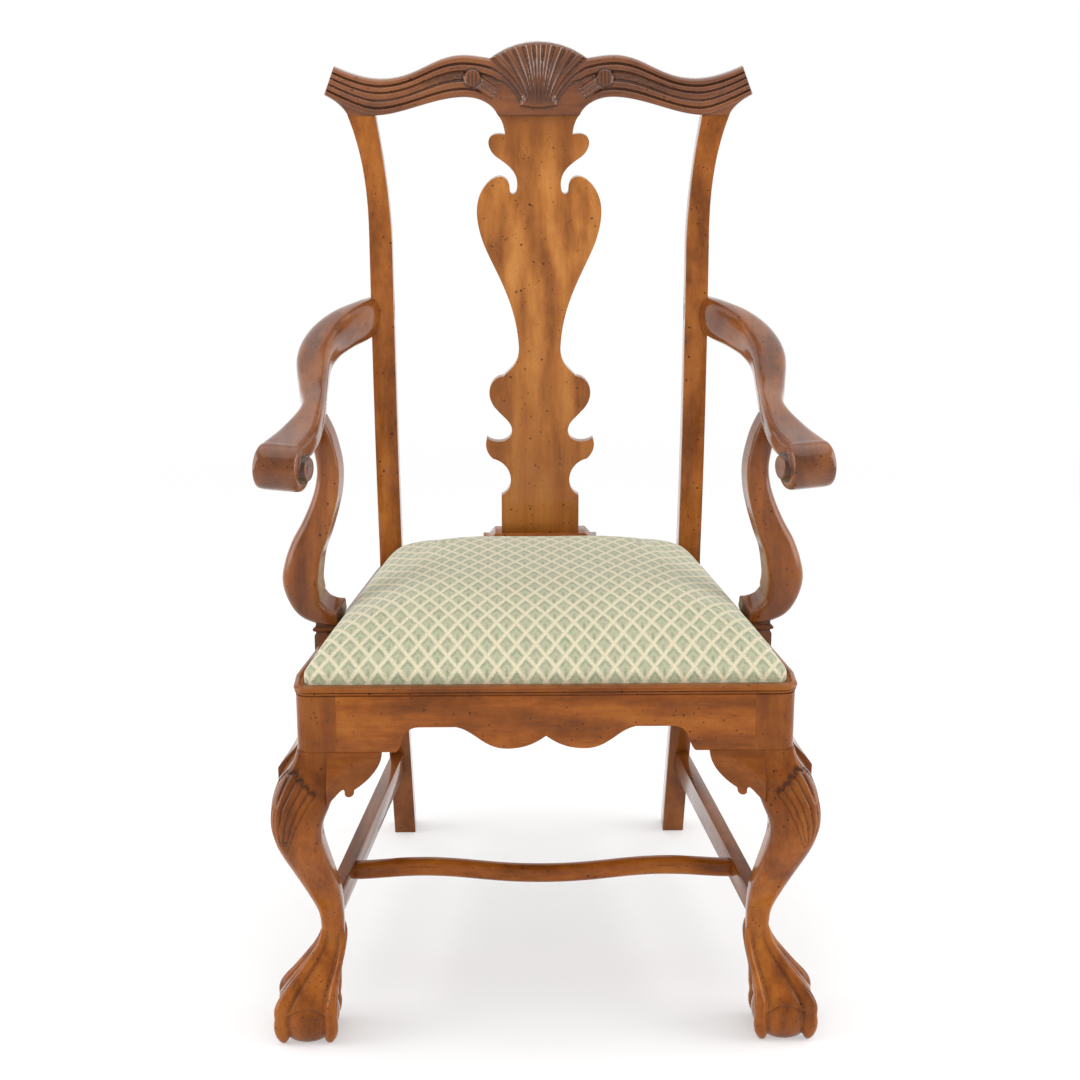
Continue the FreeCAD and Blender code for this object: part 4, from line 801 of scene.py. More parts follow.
def band_edges(side):
    """Edges that the carved bands follow: they run out through the slanted ends and over the posts."""
    low, high = rail_edges(side)
    rise = CREST_HEIGHT * 2.0 * (side - EAR_X) / CREST_HALF
    high = np.where(side > EAR_X, CREST_BASE + EAR_RISE * CREST_HEIGHT + rise, high)
    over_post = np.interp(side, (POST_IN, 0.214, 0.228, 0.246, CREST_HALF), (0, 0.035, 0.12, 0.25, 0.40))
    return np.where(side > POST_IN, CREST_BASE + CREST_HEIGHT * over_post, low), high


def shell_place(x, z):
    """Place in the shell: across its ribs from -1 to 1, and along them from its foot to its rim."""
    across, along = np.zeros_like(x), np.zeros_like(x)
    for _ in range(5):
        rim = shell_rim(np.clip(across, -1, 1) * SHELL_HALF)
        along = np.clip((z - SHELL_FOOT_Z) / (rim - SHELL_FOOT_Z), 0, 1)
        across = x / shell_width(along)
    return across, along


def shell_width(along):
    return SHELL_FOOT_HALF + (SHELL_HALF - SHELL_FOOT_HALF) * along ** 1.6


REED, LOW_REED = 0.19, 0.205            # an upper and a lower reed as shares of the rail's height
LINE_WIDE, LINE_DEEP = 0.0013, 0.0018
LEAF_FOOT_Z, LEAF_TOP_Z = 0.986, 1.040


def crest_bands(side, z):
    """Reeds along the rail; the upper two turn down beside the shell. Gives relief and hollows."""
    low, high = band_edges(side)
    height = high - low
    share = (z - low) / height
    beside = side - shell_width(np.clip((z - SHELL_FOOT_Z) / (LEAF_TOP_Z - SHELL_FOOT_Z), 0, 1))
    leaf = 0.0024 + 0.0062 * np.clip((z - LEAF_FOOT_Z) / 0.05, 0, 1)
    from_top = np.exp(-4 * (high - z) / (REED * height))
    from_shell = np.exp(-4 * np.maximum(beside, -0.01) / leaf)
    place = -np.log(from_top + from_shell) / 4
    scale = (from_top * REED * height + from_shell * leaf) / (from_top + from_shell)
    above_foot = smooth_step(z, 0.984, 0.990)
    outer, toward_ear = smooth_step(side, 0.060, 0.078), smooth_step(side, 0.13, 0.185)
    middle = (share > 2 * LOW_REED) * (place > 2) * outer
    sunk = middle * (1 - toward_ear)
    relief = 0.0024 * rib_profile(place - 0.5) * (place < 2) * above_foot
    relief += 0.0022 * rib_profile(share / LOW_REED - 0.5) * (share < 2 * LOW_REED) * (share > 0) * outer
    relief += 0.0018 * middle * toward_ear - 0.0016 * sunk
    hollow = 0.3 * sunk
    for line in (1, 2):
        cut = groove((place - line) * scale, LINE_WIDE) * above_foot
        relief -= LINE_DEEP * cut
        hollow = np.maximum(hollow, cut)
    for line in (0, 1, 2):
        cut = groove((share - line * LOW_REED) * height, LINE_WIDE) * outer
        relief -= LINE_DEEP * cut * (line > 0)
        hollow = np.maximum(hollow, cut * (1.0 if line else 0.5 * (side > POST_IN)))
    vein = groove((share - 0.515 - 0.03 * np.sin(side * 62)) * height, 0.0009) * sunk
    slants = groove((side * 34 + share * 2.4) % 0.62 - 0.31, 0.045) * sunk * (side > 0.1)
    relief += 0.0008 * slants - 0.0007 * vein
    return relief, np.maximum(hollow, np.maximum(0.8 * vein, 0.35 * slants))


def crest_button(side, z, relief, hollow):
    """Slit button in each half of the rail, with a short ribbon hanging from it towards the shell."""
    along = (BUTTON_X - side) * RIBBON_IN + (BUTTON_Z - z) * RIBBON_DOWN
    across = (BUTTON_X - side) * RIBBON_DOWN - (BUTTON_Z - z) * RIBBON_IN
    ribbon = (along > RIBBON_START) & (along < RIBBON_END) & (np.abs(across) < RIBBON_HALF)
    ribs = rib_profile(across / 0.0052)
    end = smooth_step(RIBBON_END - along, 0, 0.002) * smooth_step(RIBBON_HALF - np.abs(across), 0, 0.0012)
    relief = np.where(ribbon, 0.0008 + (0.0008 + 0.0024 * ribs) * end, relief)
    hollow = np.where(ribbon, np.maximum((1 - ribs) ** 1.5, 1 - end), hollow)
    reach = np.hypot(side - BUTTON_X, z - BUTTON_Z)
    dome = np.sqrt(np.clip(1 - (reach / BUTTON_R) ** 2, 0, 1))
    slits = sum(groove(side - BUTTON_X - off, 0.0011) for off in (-SLIT_GAP, 0.0, SLIT_GAP))
    slits = slits * (reach < 0.85 * BUTTON_R)
    relief = np.where(reach < BUTTON_R, 0.0006 + 0.0034 * dome ** 0.6 - 0.0016 * slits, relief)
    moat = groove(reach - BUTTON_R - 0.0008, 0.0013)
    hollow = np.maximum(np.where(reach < BUTTON_R, 0.8 * slits, hollow), moat)
    return relief - 0.0014 * moat, hollow


def crest_carving(x, z):
    """Relief in front of the crest's face, and how far a place lies in a hollow, painted dark as shade, with
    a dark joint line and a stain.
    """
    side = np.abs(x)
    relief, hollow = crest_bands(side, z)
    relief, hollow = crest_button(side, z, relief, hollow)
    stain = 0.1 * smooth_step(side, 0.05, 0.075)
    # Shell with rounded ribs, deeper towards its rim, and painted shade in the valleys between them
    across, along = shell_place(x, z)
    in_shell = (np.abs(across) < 1) & (z > SHELL_FOOT_Z)
    place = across * SHELL_RIBS / 2
    rib = 1 - (2 * (place - np.round(place))) ** 2
    bulge = np.sqrt(np.clip(1 - across ** 2, 0, 1)) * np.sin(math.pi * (0.2 + 0.62 * along)) ** 0.8
    shell = 0.0035 + 0.0072 * bulge + 0.46 * shell_width(along) * 2 / SHELL_RIBS * (rib - 0.7)
    relief = np.where(in_shell, shell, relief)
    hollow = np.where(in_shell, (1 - rib) ** 1.6, hollow)
    stain = np.where(in_shell, 0.4, stain)
    # Bar across the shell's foot, with a painted shadow line under it
    half = SHELL_FOOT_HALF + 0.0005 + 0.003 * smooth_step(side, 0.014, SHELL_FOOT_HALF)
    sag = 0.0018 * np.clip(side / SHELL_FOOT_HALF, 0, 1.2) ** 2
    bar = np.clip(1 - ((z - sag - BAR_Z) / BAR_HALF) ** 2, 0, 1) * (side < half)
    relief = np.where(bar > 0, np.maximum(relief, 0.0025 + 0.004 * np.sqrt(bar)), relief)
    hollow = np.where(bar > 0.1, 0.15, hollow)
    under = groove(z - sag - BAR_LINE_Z, 0.0011) * (side < half + 0.002)
    joint = groove(z - CREST_BASE, 0.0009) * (side < NECK)
    hollow = np.maximum(hollow, np.maximum(under, 0.8 * joint))
    return relief, np.clip(np.maximum(hollow, stain), 0, 1)


def free_edge(x, z, low, high):
    """Distance from the nearest open edge; the joints with the posts and the splat stay square."""
    side = np.abs(x)
    joint = (side < NECK) | ((side > POST_IN) & (side < POST_OUT))
    return np.minimum(np.where(joint, 1.0, z - low), high - z)


def softened(distance, width):
    """How far a face falls back near an edge, which rounds it."""
    reach = np.clip(distance / width, 0, 1)
    return CREST_SOFT * (1 - np.sqrt(np.clip(1 - (1 - reach) ** 2, 0, 1)))


def crest_rail(columns=520, front_rows=92, back_rows=14):
    crowd = math.radians(82)            # columns stand closer towards the ends
    x = CREST_HALF * 0.9995 * np.sin(np.linspace(-1, 1, columns) * crowd) / math.sin(crowd)
    low, high = crest_edges(np.abs(x))

    def face_rows(shares):
        """Grid over a face, with its distance from an open edge and its share of the rail's height."""
        z = low + (high - low) * shares[:, None]
        wide = np.broadcast_to(x, z.shape)
        return wide, z, free_edge(wide, z, low, high), (z - CREST_BASE) / CREST_HEIGHT

    shares = 0.5 - 0.5 * np.cos(np.linspace(0.09, math.pi - 0.09, front_rows))
    wide, z, edge, rise = face_rows((shares - shares[0]) / (shares[-1] - shares[0]))
    relief, hollow = crest_carving(wide, z)
    edge = np.minimum(edge, CREST_HALF - np.abs(wide))
    y = FRONT_Y + BACK_DEPTH + CREST_LEAN * rise - relief + softened(edge, CREST_SOFT)
    front = np.stack([wide, y, z], -1)
    wide, z, edge, rise = face_rows(np.linspace(1, 0, back_rows))
    y = FRONT_Y + BACK_DEPTH + CREST_THICK + CREST_BACK_LEAN * rise - softened(edge, 1.5 * CREST_SOFT)
    points = np.concatenate([front, np.stack([wide, y, z], -1)], 0)
    rows = len(points)
    ends = [[j * columns + i for j in range(rows)] for i in (0, columns - 1)]
    shape = (points.reshape(-1, 3), grid_faces(rows, columns, ring_rows=True) + ends)
    piece = add_piece("crest_rail_carved", shape, FRAME_BODY, CREST_WOOD, ("crest_rail",))
    # Painted shade in the carving's hollows and grooves, with the dark joint line and the stain
    set_glaze_and_shade(piece, np.concatenate([hollow.ravel(), np.zeros(z.size)]))


# Front legs

HALF_FRONT, LEG_POST, POST_ROUND, RAIL_BASE = 0.2725, 0.044, 0.015, 0.345
BALL_R, BALL_Z, BALL_X, BALL_DEPTH = 0.036, 0.026, 0.2705, 0.002
ANKLE_X, ANKLE_DEPTH, ANKLE_Z, FOOT_TOP = 0.2415, 0.031, 0.112, 0.125
KNEE_LOW, KNEE_HIGH, KNEE_WIDE = 0.232, 0.326, 0.047
FLUTES, FLUTE_DEEP = 4.0, 0.0026        # on one face of a knee
LEG_VOXEL, CLAW_HOLLOW = 0.0013, 0.0008
# In mm: height, and the leg's outer and inner faces, outward and inward from the post's outer face
LEG_SHAPE = ((78, -10, 39.5), (91, -14.5, 42), (104, -17.5, 43.6), (114, -18, 44), (139.7, -15.5, 44),
             (168, -5, 42.2), (198.4, 8.1, 36.1), (224.3, 19.5, 30.4), (248.4, 27.9, 26.4), (268, 31, 28.2),
             (289.8, 28.8, 37), (313, 18.6, 42.7), (333, 5, 44), (345, 0.6, 44))
# In mm: height, distance from the foot's axis, radius
TALON_SHAPE = ((118, 14, 3.5), (106, 16.2, 4.2), (92, 20, 4.8), (78, 25.5, 5.6), (64, 31, 6.6),
               (52, 36, 8.2), (42, 38.8, 8.6), (32, 39, 7.9), (23, 39.8, 8.3), (14, 38.6, 8), (6, 36, 6.2),
               (2.5, 34, 4))


def leg_shaft():
    """Cabriole shaft from the ankle to the rail: rounded squares that step out at the knee."""
    sections = []
    for z, out, inner in smooth_rows(LEG_SHAPE, 96) * MM:
        half = (out + inner) / 2
        a, b = superellipse(72, 3.6 + 4.0 * float(smooth_step(z, 0.285, 0.335)))
        sections.append(level_ring(HALF_FRONT - inner + half + a * half, half - out + b * half, z))
    return loft(sections)


def foot_axis(z):
    """Centre of the foot at a height: over the ball below, at the ankle above."""
    share = smooth_step(z, 0.036, ANKLE_Z)
    return BALL_X + (ANKLE_X - BALL_X) * share, BALL_DEPTH + (ANKLE_DEPTH - BALL_DEPTH) * share


def ball():
    c, s = circle(56)
    rings = []
    for angle in np.linspace(-math.asin(BALL_Z / BALL_R), math.radians(88), 30):
        radius, z = BALL_R * math.cos(angle), BALL_Z + BALL_R * math.sin(angle)
        rings.append(level_ring(BALL_X + radius * c, BALL_DEPTH + radius * s, z))
    return loft(rings)


def talon(heading):
    """One claw with two knuckles, from the ankle's corner down over the ball to the floor."""
    rows = smooth_rows(TALON_SHAPE, 60) * MM
    way = np.array([math.cos(heading), math.sin(heading), 0.0])
    across = np.array([-way[1], way[0], 0.0])
    centres = [level_ring(*foot_axis(z), z) + way * spread for z, spread, _ in rows]
    sections = []
    for i, radius in enumerate(rows[:, 2]):
        ways = (across, np.cross(across, heading_at(centres, i, 1)))
        sections.append(ring_at(centres[i], superellipse(28, 2.2), (0.86 * radius, 1.05 * radius), ways))
    return loft(sections)


def webs():
    """Skin from the ankle down between the claws, ending in a lid arched over the ball on each side."""
    turn = np.linspace(0, 2 * math.pi, 96, endpoint=False)
    off_middle = np.abs((np.degrees(turn) + 45) % 90 - 45) / 45
    edge_z = 0.0465 - 0.017 * off_middle ** 2
    edge_r = np.sqrt(BALL_R ** 2 - (edge_z - BALL_Z) ** 2) + 0.0042
    top_r = 0.0125

    def ring(z, radius):
        x, depth = foot_axis(z)
        return level_ring(x + radius * np.cos(turn), depth + radius * np.sin(turn), z)

    rings = [ring(edge_z + 0.003, 0.4 * edge_r)]
    for share in np.linspace(0, 1, 30):
        ridges = smooth_step(np.abs(np.cos(turn)), 0.72, 0.86) * math.sin(math.pi * min(1, share * 1.1))
        radius = top_r + (edge_r - top_r) * (1 - share) ** 1.45 + 0.0014 * ridges * np.cos(turn * 20)
        rings.append(ring(edge_z + (ANKLE_Z - edge_z) * share, radius))
    return loft(rings)


def front_corner(count):
    """Rounded front corner of the seat frame as (x, depth), from the front face round to the side."""
    return [(HALF_FRONT - POST_ROUND + POST_ROUND * math.sin(a), POST_ROUND - POST_ROUND * math.cos(a))
            for a in np.linspace(0, math.pi / 2, count)]


LIP = 0.0105                # width of the post's rim beside the seat
# Height of each level of the rim, with how far it is set in: a groove, then a rounded top edge
RIM_LEVELS = ((LEDGE, 0), (0.4101, 0), (0.4103, 0.0016), (0.4117, 0.0016), (0.4119, 0), (0.4175, 0),
              (0.4193, 0.0007), (RAIL_TOP, 0.0022))


def leg_post():
    """Square post between the rails, its outer corner rounded and its top cut back to take the seat."""
    inner_x = HALF_FRONT - LEG_POST
    outer = [(inner_x, 0.0), *front_corner(12), (HALF_FRONT, LEG_POST)]

    def inset(x, y, amount):
        """A point of the outer faces set in; the faces against the rails keep their places."""
        return (x - (0 if x <= inner_x else amount * (x - inner_x) / LEG_POST),
                y + (0 if y >= LEG_POST else amount * (1 - y / LEG_POST)))

    solid_levels, solid_inner = ((RAIL_BASE, 0), (LEDGE, 0)), [(inner_x, LEG_POST)]
    rim_inner = [(HALF_FRONT - LIP, LEG_POST), (HALF_FRONT - LIP, LIP), (inner_x, LIP)]
    parts = []
    for levels, inner in ((solid_levels, solid_inner), (RIM_LEVELS, rim_inner)):
        sections = []
        for z, amount in levels:
            plan = np.array([inset(x, y, amount) for x, y in outer] + inner)
            sections.append(level_ring(plan[:, 0], plan[:, 1], z))
        verts, faces = loft(sections, closed_ends=False)
        count = len(sections[0])
        faces += [tuple(range(count)), tuple(range(len(verts) - count, len(verts)))]
        parts.append((verts, faces))
    return joined(*parts)


def knee_carving(points, sign):
    """Depth of the flutes in the knee's outer corner, which meet in a point below, and how dark they are
    painted: painted shade in their valleys and along their edges, and a painted shadow above their top.
    """
    x, depth, z = points[:, 0] * sign, points[:, 1] - FRONT_Y, points[:, 2]
    heights, outs, _ = np.transpose(LEG_SHAPE) * MM
    out = np.interp(z, heights, outs)
    across = np.maximum(HALF_FRONT + out - x, depth + out) - 0.004
    height = (z - KNEE_LOW) / (KNEE_HIGH - KNEE_LOW)
    wide = KNEE_WIDE * np.clip(height, 0, 1) ** 0.62 + 0.0005
    place = np.clip(across, 0, 1) / wide
    ribs = rib_profile(place * FLUTES - 0.5)
    top = KNEE_HIGH - 0.62 * np.clip(across, 0, 1) + 0.0045 * (ribs - 0.5)
    corner = (place < 1) & (x > HALF_FRONT - LEG_POST) & (depth < LEG_POST)
    inside = (z > KNEE_LOW) & (z < top) & corner
    border = np.minimum((1 - place) * wide, top - z)
    ease = smooth_step(border, 0.0, 0.003) * smooth_step(z, KNEE_LOW, KNEE_LOW + 0.02)
    cut = np.where(inside, ease * (FLUTE_DEEP - FLUTE_DEEP * ribs) + 0.0008 * ease, 0)
    edge = groove(top - z, 0.0022) * (place < 1.02) * (height > 0.3)
    rim = groove((1 - place) * wide, 0.0014) * (z < top) * (height > 0.05)
    cut = np.maximum(cut, np.where(inside, 0.0022 * edge, 0))
    # Painted shade in the flutes' valleys and along their edges; a painted shadow just above their top
    glaze_and_shade = np.where(inside, np.maximum((1 - ribs) ** 1.4 * ease, np.maximum(0.6 * edge, 0.8 * rim)), 0)
    shadow = corner * (z >= top) * groove(z - top, 0.0032) * (height > 0.3)
    return cut, np.maximum(glaze_and_shade, shadow)


def front_legs():
    claws = [talon(math.radians(45 + 90 * k)) for k in range(4)]
    shape = joined(leg_shaft(), ball(), webs(), *claws)
    legs = add_pair("front_leg_{}_shaped", shape, LEG_WOOD["z"], "front_leg_{}")
    for piece, sign in zip(legs, (1, -1)):
        fused(piece, LEG_VOXEL, 2)
        points, normals, _ = mesh_arrays(piece)
        cut, glaze_and_shade = knee_carving(points, sign)
        # Painted shade in the hollows between the claws
        dark = np.where(points[:, 2] < FOOT_TOP, hollows(piece, CLAW_HOLLOW), 0)
        moved = points - normals * cut[:, None]
        moved[:, 2] = np.maximum(moved[:, 2], 0.0)
        move_points(piece, moved)
        set_glaze_and_shade(piece, np.maximum(glaze_and_shade, dark))
    add_pair("front_leg_{}_post", leg_post(), LEG_WOOD["z"], smooth=False)


# Height of each bead's middle, half its height and how far it stands out
BEADS = ((0.4133, 0.0012, 0.0013), (0.4173, 0.0026, 0.0023))
# Top and back of the beads, as (out from the rail's face, height)
BEAD_BACK = ((-0.003, 0.4204), (-0.0072, 0.4204), (-0.0084, 0.4196), (-0.0084, 0.4185), (-0.002, 0.4119))
BEAD_END = (0.2035, 0.4145)             # (x, depth) of the beads' end at a rear post
FRAME_MIDDLE = 0.2                      # a depth inside the seat frame
# The beads' darker tone, and painted shade in the groove between them and under the lower one
BEAD_GLAZE, GROOVE_PAINTED_SHADE = 0.2, 0.85


def rail_bead():
    """Two beads along the top edge of the seat frame, round the front corners to the rear posts."""
    path = [BEAD_END, (HALF_FRONT, LEG_POST), *reversed(front_corner(14))]
    path = np.array(path + [(-x, depth) for x, depth in reversed(path)])
    profile = [(proud * math.cos(angle), middle + height * math.sin(angle))
               for middle, height, proud in BEADS for angle in np.radians(np.linspace(-80, 80, 9))]
    profile = np.array(profile + list(BEAD_BACK))
    out, z = profile.T
    sections = []
    for i, (x, depth) in enumerate(path):
        ahead = heading_at(path, i, 1)
        outward = np.array([-ahead[1], ahead[0]])
        outward *= -1 if outward @ (x, depth - FRAME_MIDDLE) < 0 else 1
        sections.append(level_ring(x + outward[0] * out, depth + outward[1] * out, z))
    piece = add_piece("seat_rail_bead", loft(sections), FRAME_BODY, FRAME_WOOD["x"])
    # Painted shade in the groove and under the lower bead; the rest of the beads gets a darker tone
    glaze_and_shade = np.where((out < 0.0007) & (z < 0.4155), GROOVE_PAINTED_SHADE, BEAD_GLAZE)
    set_glaze_and_shade(piece, np.append(np.tile(glaze_and_shade, len(path)), [BEAD_GLAZE] * 2))


# Arm supports

SUPPORT_DEPTH, SUPPORT_BASE, SUPPORT_RISE = 0.192, 0.430, 0.2487
SUPPORT_TURN, SUPPORT_VOXEL = math.radians(9), 0.0012
# Out from the rail in mm, share of the rise, thickness and depth in mm
SUPPORT_SHAPE = ((-16, 0.036, 17, 46), (-6, 0.036, 19, 46), (4, 0.042, 22, 46), (15, 0.058, 29, 46),
                 (27, 0.1, 38, 45), (34, 0.19, 44, 43.2), (32, 0.27, 43, 42), (26, 0.36, 39, 41),
                 (16, 0.45, 35, 39), (6, 0.56, 31, 37.7), (0, 0.66, 28.5, 36), (-1, 0.76, 27, 34),
                 (5, 0.88, 26, 32), (13.5, 0.965, 25, 30))
# Height, reach in from the rail's face and reach out, in mm
FOOT_LEVELS = ((375, 0, 17), (417, 0, 17), (419.8, 0, 15.6), (420.3, 9.4, 15), (422, 9.4, 15.2),
               (423.2, 9.4, 17.6), (425, 9.4, 18.5), (426.8, 9.4, 17.8), (428, 9.4, 15.6), (429, 9.4, 15),
               (444, 9.4, 15))
FOOT_HALF, FOOT_NECKS = 0.0193, (0.4285, 0.4212)
NECK_OUT, LAP_IN, LAP_TOP = 15, 0.0102, 0.47     # the neck's reach out in mm; how far in and up the lap goes


def rail_face(depth):
    """Half-width of the seat frame at a depth."""
    return HALF_FRONT - SIDE_SLOPE * (depth - LEG_POST)


def support_section():
    """Square section with one rounded corner, at the front of the outer side."""
    crisp, round_corner = superellipse(80, 8.0), superellipse(80, 2.7)
    outer_front = (crisp[0] > 0) & (crisp[1] < 0)
    return [np.where(outer_front, b, a) for a, b in zip(crisp, round_corner)]


def support_curve():
    """S-shaped upright with crisp edges, turned a little about its own length."""
    rows = smooth_rows(SUPPORT_SHAPE, 110)
    foot_x = rail_face(SUPPORT_DEPTH)
    centres = [level_ring(foot_x + out * MM, SUPPORT_DEPTH, SUPPORT_BASE + SUPPORT_RISE * share)
               for out, share, _, _ in rows]
    back, outline = np.array([0, 1.0, 0]), support_section()
    sections = []
    for i, sizes in enumerate(rows[:, 2:] * MM / 2):
        ahead = heading_at(centres, i, 2)
        across = np.array([ahead[2], 0.0, -ahead[0]])
        ways = (across * math.cos(SUPPORT_TURN) + back * math.sin(SUPPORT_TURN),
                back * math.cos(SUPPORT_TURN) - across * math.sin(SUPPORT_TURN))
        ring = ring_at(centres[i], outline, sizes, ways)
        limit = rail_face(ring[:, 1] - FRONT_Y) - LAP_IN
        ring[:, 0] = np.where(ring[:, 2] < LAP_TOP, np.maximum(ring[:, 0], limit), ring[:, 0])
        sections.append(ring)
    return loft(sections)


def support_foot():
    """Moulded neck over the rail's edge and the lap down its outer face, with a darker tone and painted shade
    in the neck's grooves.
    """
    sections = []
    for z, inner, outer in FOOT_LEVELS:
        swell = (outer - NECK_OUT) * MM * 0.6 if z * MM > RAIL_TOP else 0.0
        depth = SUPPORT_DEPTH + (FOOT_HALF + swell) * np.array([-1, -1, 1, 1])
        out = np.array([-inner, outer, outer, -inner]) * MM
        sections.append(level_ring(rail_face(depth) + out, depth, z * MM))
    shape = loft(sections)
    # Painted shade in the neck's grooves; the rest of the foot gets a darker tone
    dark = [min(abs(v[2] - neck) for neck in FOOT_NECKS) < 0.0012 for v in shape[0]]
    return shape, np.where(dark, 0.75, 0.3)


def arm_supports():
    curves = add_pair("arm_support_{}_shaped", support_curve(), SUPPORT_WOOD, "arm_support_{}")
    for piece in curves:
        fused(piece, SUPPORT_VOXEL, 5)
        # Painted shade in the support's hollows
        set_glaze_and_shade(piece, 0.7 * hollows(piece, SUPPORT_VOXEL))
    foot, glaze_and_shade = support_foot()
    add_pair("arm_support_{}_foot", foot, SUPPORT_WOOD, smooth=False, glaze_and_shade=glaze_and_shade)


# Under the seat

BAR_INSET, LINING_INSET, STRAP_INSET = 0.0133, 0.0185, 0.012
STRAP_WIDE, STRAP_THICK, STRAP_RISE = 0.05, 0.0011, 0.0006
STRAP_X, STRAPS_ACROSS = (-0.085, 0, 0.085), 3


def seat_half_width(depth):
    """Half-width of the seat's bars at a depth."""
    return rail_face(depth) - BAR_INSET


def dust_cover(columns=41, rows=37):
    """Thin lining stretched under the bars, hanging a little in the middle."""
    low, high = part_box("seat_dust_cover")
    s, t = np.meshgrid(np.linspace(-1, 1, columns), np.linspace(0, 1, rows))
    y = low.y + (high.y - low.y) * t
    x = s * (seat_half_width(y - FRONT_Y) - LINING_INSET)
    sag = (1 - s * s) * np.sin(math.pi * t)
    ripple = 0.0004 * np.sin(9 * s + 2.0) * np.sin(11 * t) * (1 - s * s)
    points = np.stack([x, y, low.z + 0.0003 - 0.0035 * sag + ripple], -1).reshape(-1, 3)
    faces = [(face[0], *face[:0:-1]) for face in grid_faces(rows, columns)]
    piece = add_piece("dust_lining_sheet", (points, faces), SEAT_BODY, LINING,
                      ("seat_dust_cover",), closed=False)


def strap(start, end, turn):
    """Flat band between two points that passes over and under the bands across it."""
    start, end = np.array(start), np.array(end)
    ahead = unit(end - start)
    side = np.array([-ahead[1], ahead[0], 0.0])
    outline = np.array([(-1, 1, 1, -1), (-1, -1, 1, 1)])
    sections = []
    for share in np.linspace(0, 1, 49):
        rise = turn * 0.0007 * math.sin(4 * math.pi * share) * math.sin(math.pi * share)
        middle = start + (end - start) * share + UP * rise
        sections.append(ring_at(middle, outline, (STRAP_WIDE / 2, STRAP_THICK / 2), (side, UP)))
    return loft(sections)


def webbing():
    low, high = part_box("seat_webbing")
    base = low.z + 0.0012
    under, over = base - STRAP_RISE, base + STRAP_RISE
    bands = [strap((x, low.y, under), (x, high.y, under), 1) for x in STRAP_X]
    front, rear = low.y - STRAP_INSET, high.y + STRAP_INSET
    for number in range(1, STRAPS_ACROSS + 1):
        y = front + (rear - front) * number / (STRAPS_ACROSS + 1)
        half = seat_half_width(y + STRAP_WIDE / 2 - FRONT_Y) - STRAP_INSET
        bands.append(strap((-half, y, over), (half, y, over), -1))
    add_piece("seat_webbing_straps", joined(*bands), SEAT_BODY, JUTE, ("seat_webbing",),
              smooth=False)


# Stage, light and camera

def stage():
    """Pale floor that fades into the white background where it is seen directly or in a gloss; even beside
    the chair three tenths of it glows white, a painted light that lifts the chair's shadow.
    """
    reach = 16.0
    mesh = bpy.data.meshes.new("floor")
    corners = [(-reach, -reach, 0.0), (reach, -reach, 0.0), (reach, reach, 0.0), (-reach, reach, 0.0)]
    mesh.from_pydata(corners, [], [(0, 1, 2, 3)])
    floor = bpy.data.objects.new("floor", mesh)
    bpy.context.scene.collection.objects.link(floor)
    material, n, shader = new_material("pale_floor")
    place = n.object_place()
    patch = n.ramp(n.noise(place, 0.8, 2.0), [(0.3, (0.93, 0.93, 0.93)), (0.7, (0.95, 0.95, 0.95))])
    n.put(shader, {"Base Color": patch, "Roughness": 0.8})
    distance = n.add("VectorMath", {0: place}, operation="LENGTH").outputs["Value"]
    path = n.add("LightPath").outputs
    seen = n.math("MAXIMUM", path["Is Camera Ray"], path["Is Glossy Ray"])
    # Beside the chair three tenths of the floor glows for camera and gloss rays: painted light that lifts the
    # chair's shadow
    floor_glow_share = n.range(distance, 1.0, 2.6, 0.3, 1.0)
    white = n.add("Emission").outputs["Emission"]
    fade = n.add("MixShader", {"Fac": n.product(floor_glow_share, seen), 1: shader.outputs["BSDF"], 2: white})
    n.put(n.tree.nodes["Material Output"], {"Surface": fade.outputs["Shader"]})
    mesh.materials.append(material)


def aimed(name, data, place, aim):
    """A lamp or camera at a place, facing along a direction."""
    thing = bpy.data.objects.new(name, data)
    thing.location = place
    thing.rotation_mode = "QUATERNION"
    thing.rotation_quaternion = Vector(aim).to_track_quat("-Z", "Y")
    bpy.context.scene.collection.objects.link(thing)
    return thing


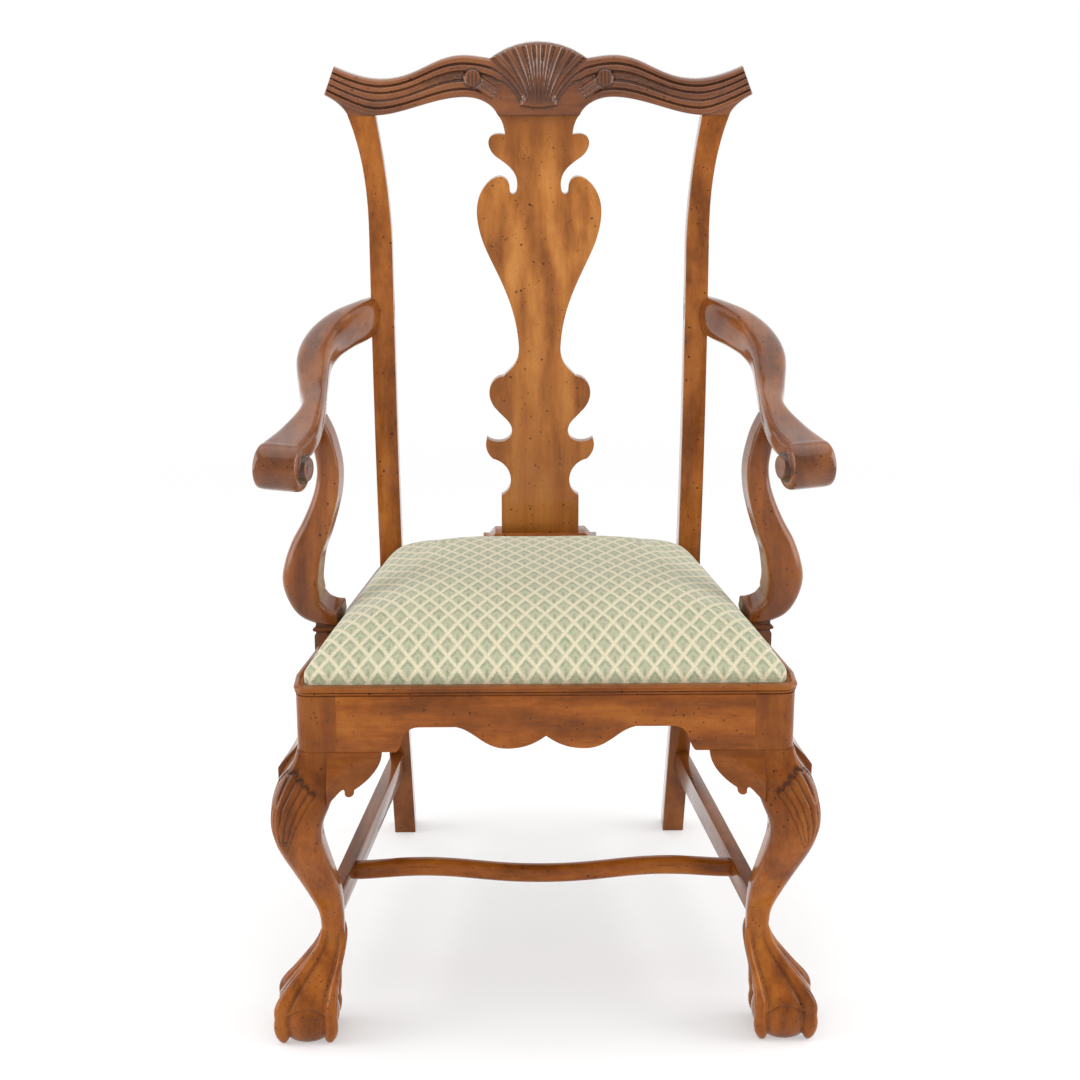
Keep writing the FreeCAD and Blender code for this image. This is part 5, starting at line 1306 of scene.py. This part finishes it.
def area_light(name, place, target, size, power, mirrored_too=True):
    data = bpy.data.lights.new(name, "AREA")
    data.shape = "RECTANGLE"
    data.size, data.size_y = size
    data.energy = power
    lamp = aimed(name, data, place, Vector(target) - Vector(place))
    lamp.visible_camera = False
    lamp.visible_glossy = mirrored_too


def lights():
    """White surroundings, weaker in a gloss from the front and for soft light, and four soft boxes."""
    world = bpy.data.worlds.new("studio")
    bpy.context.scene.world = world
    world.use_nodes = True
    n = Nodes(world.node_tree)
    path = n.add("LightPath").outputs
    heading = n.split(n.add("TexCoord").outputs["Generated"])
    reflected = n.range(heading["Y"], -0.6, 0.0, 0.65, 1.0)
    strength = n.mix(path["Is Glossy Ray"], 0.64, reflected, data="FLOAT")
    strength = n.math("MAXIMUM", strength, path["Is Camera Ray"])
    n.put(n.tree.nodes["Background"], {"Color": (1.0, 1.0, 1.0, 1.0), "Strength": strength})
    for name, side in (("left_box", -1), ("right_box", 1)):
        area_light(name, (2.7 * side, -0.3, 1.3), (0, 0, 0.4), (1.8, 2.2), 46)
    area_light("top_box", (0, 0.2, 3.4), (0, 0.1, 0), (4.4, 3.2), 42)
    area_light("front_box", (0, -3.8, 1.6), (0, 0, 0.5), (3.4, 2.2), 52, False)


CAMERA_PLACE = (-0.0388, -2.4106, 1.2765)
CAMERA_AZIMUTH, CAMERA_PITCH = 0.942, 17.763
CAMERA_LENS, CAMERA_SHIFT = 71.05, -0.0027


def camera():
    data = bpy.data.cameras.new("photo_camera")
    data.sensor_width = 36.0
    data.lens = CAMERA_LENS
    data.shift_x = CAMERA_SHIFT
    azimuth, pitch = math.radians(CAMERA_AZIMUTH), math.radians(CAMERA_PITCH)
    aim = (math.sin(azimuth) * math.cos(pitch), math.cos(azimuth) * math.cos(pitch), -math.sin(pitch))
    bpy.context.scene.camera = aimed("photo_camera", data, CAMERA_PLACE, aim)


camera()
stage()
lights()
dress_frame()
upholstered_seat()
arms()
crest_rail()
front_legs()
arm_supports()
rail_bead()
dust_cover()
webbing()
bpy.context.scene.view_settings.view_transform = "Standard"
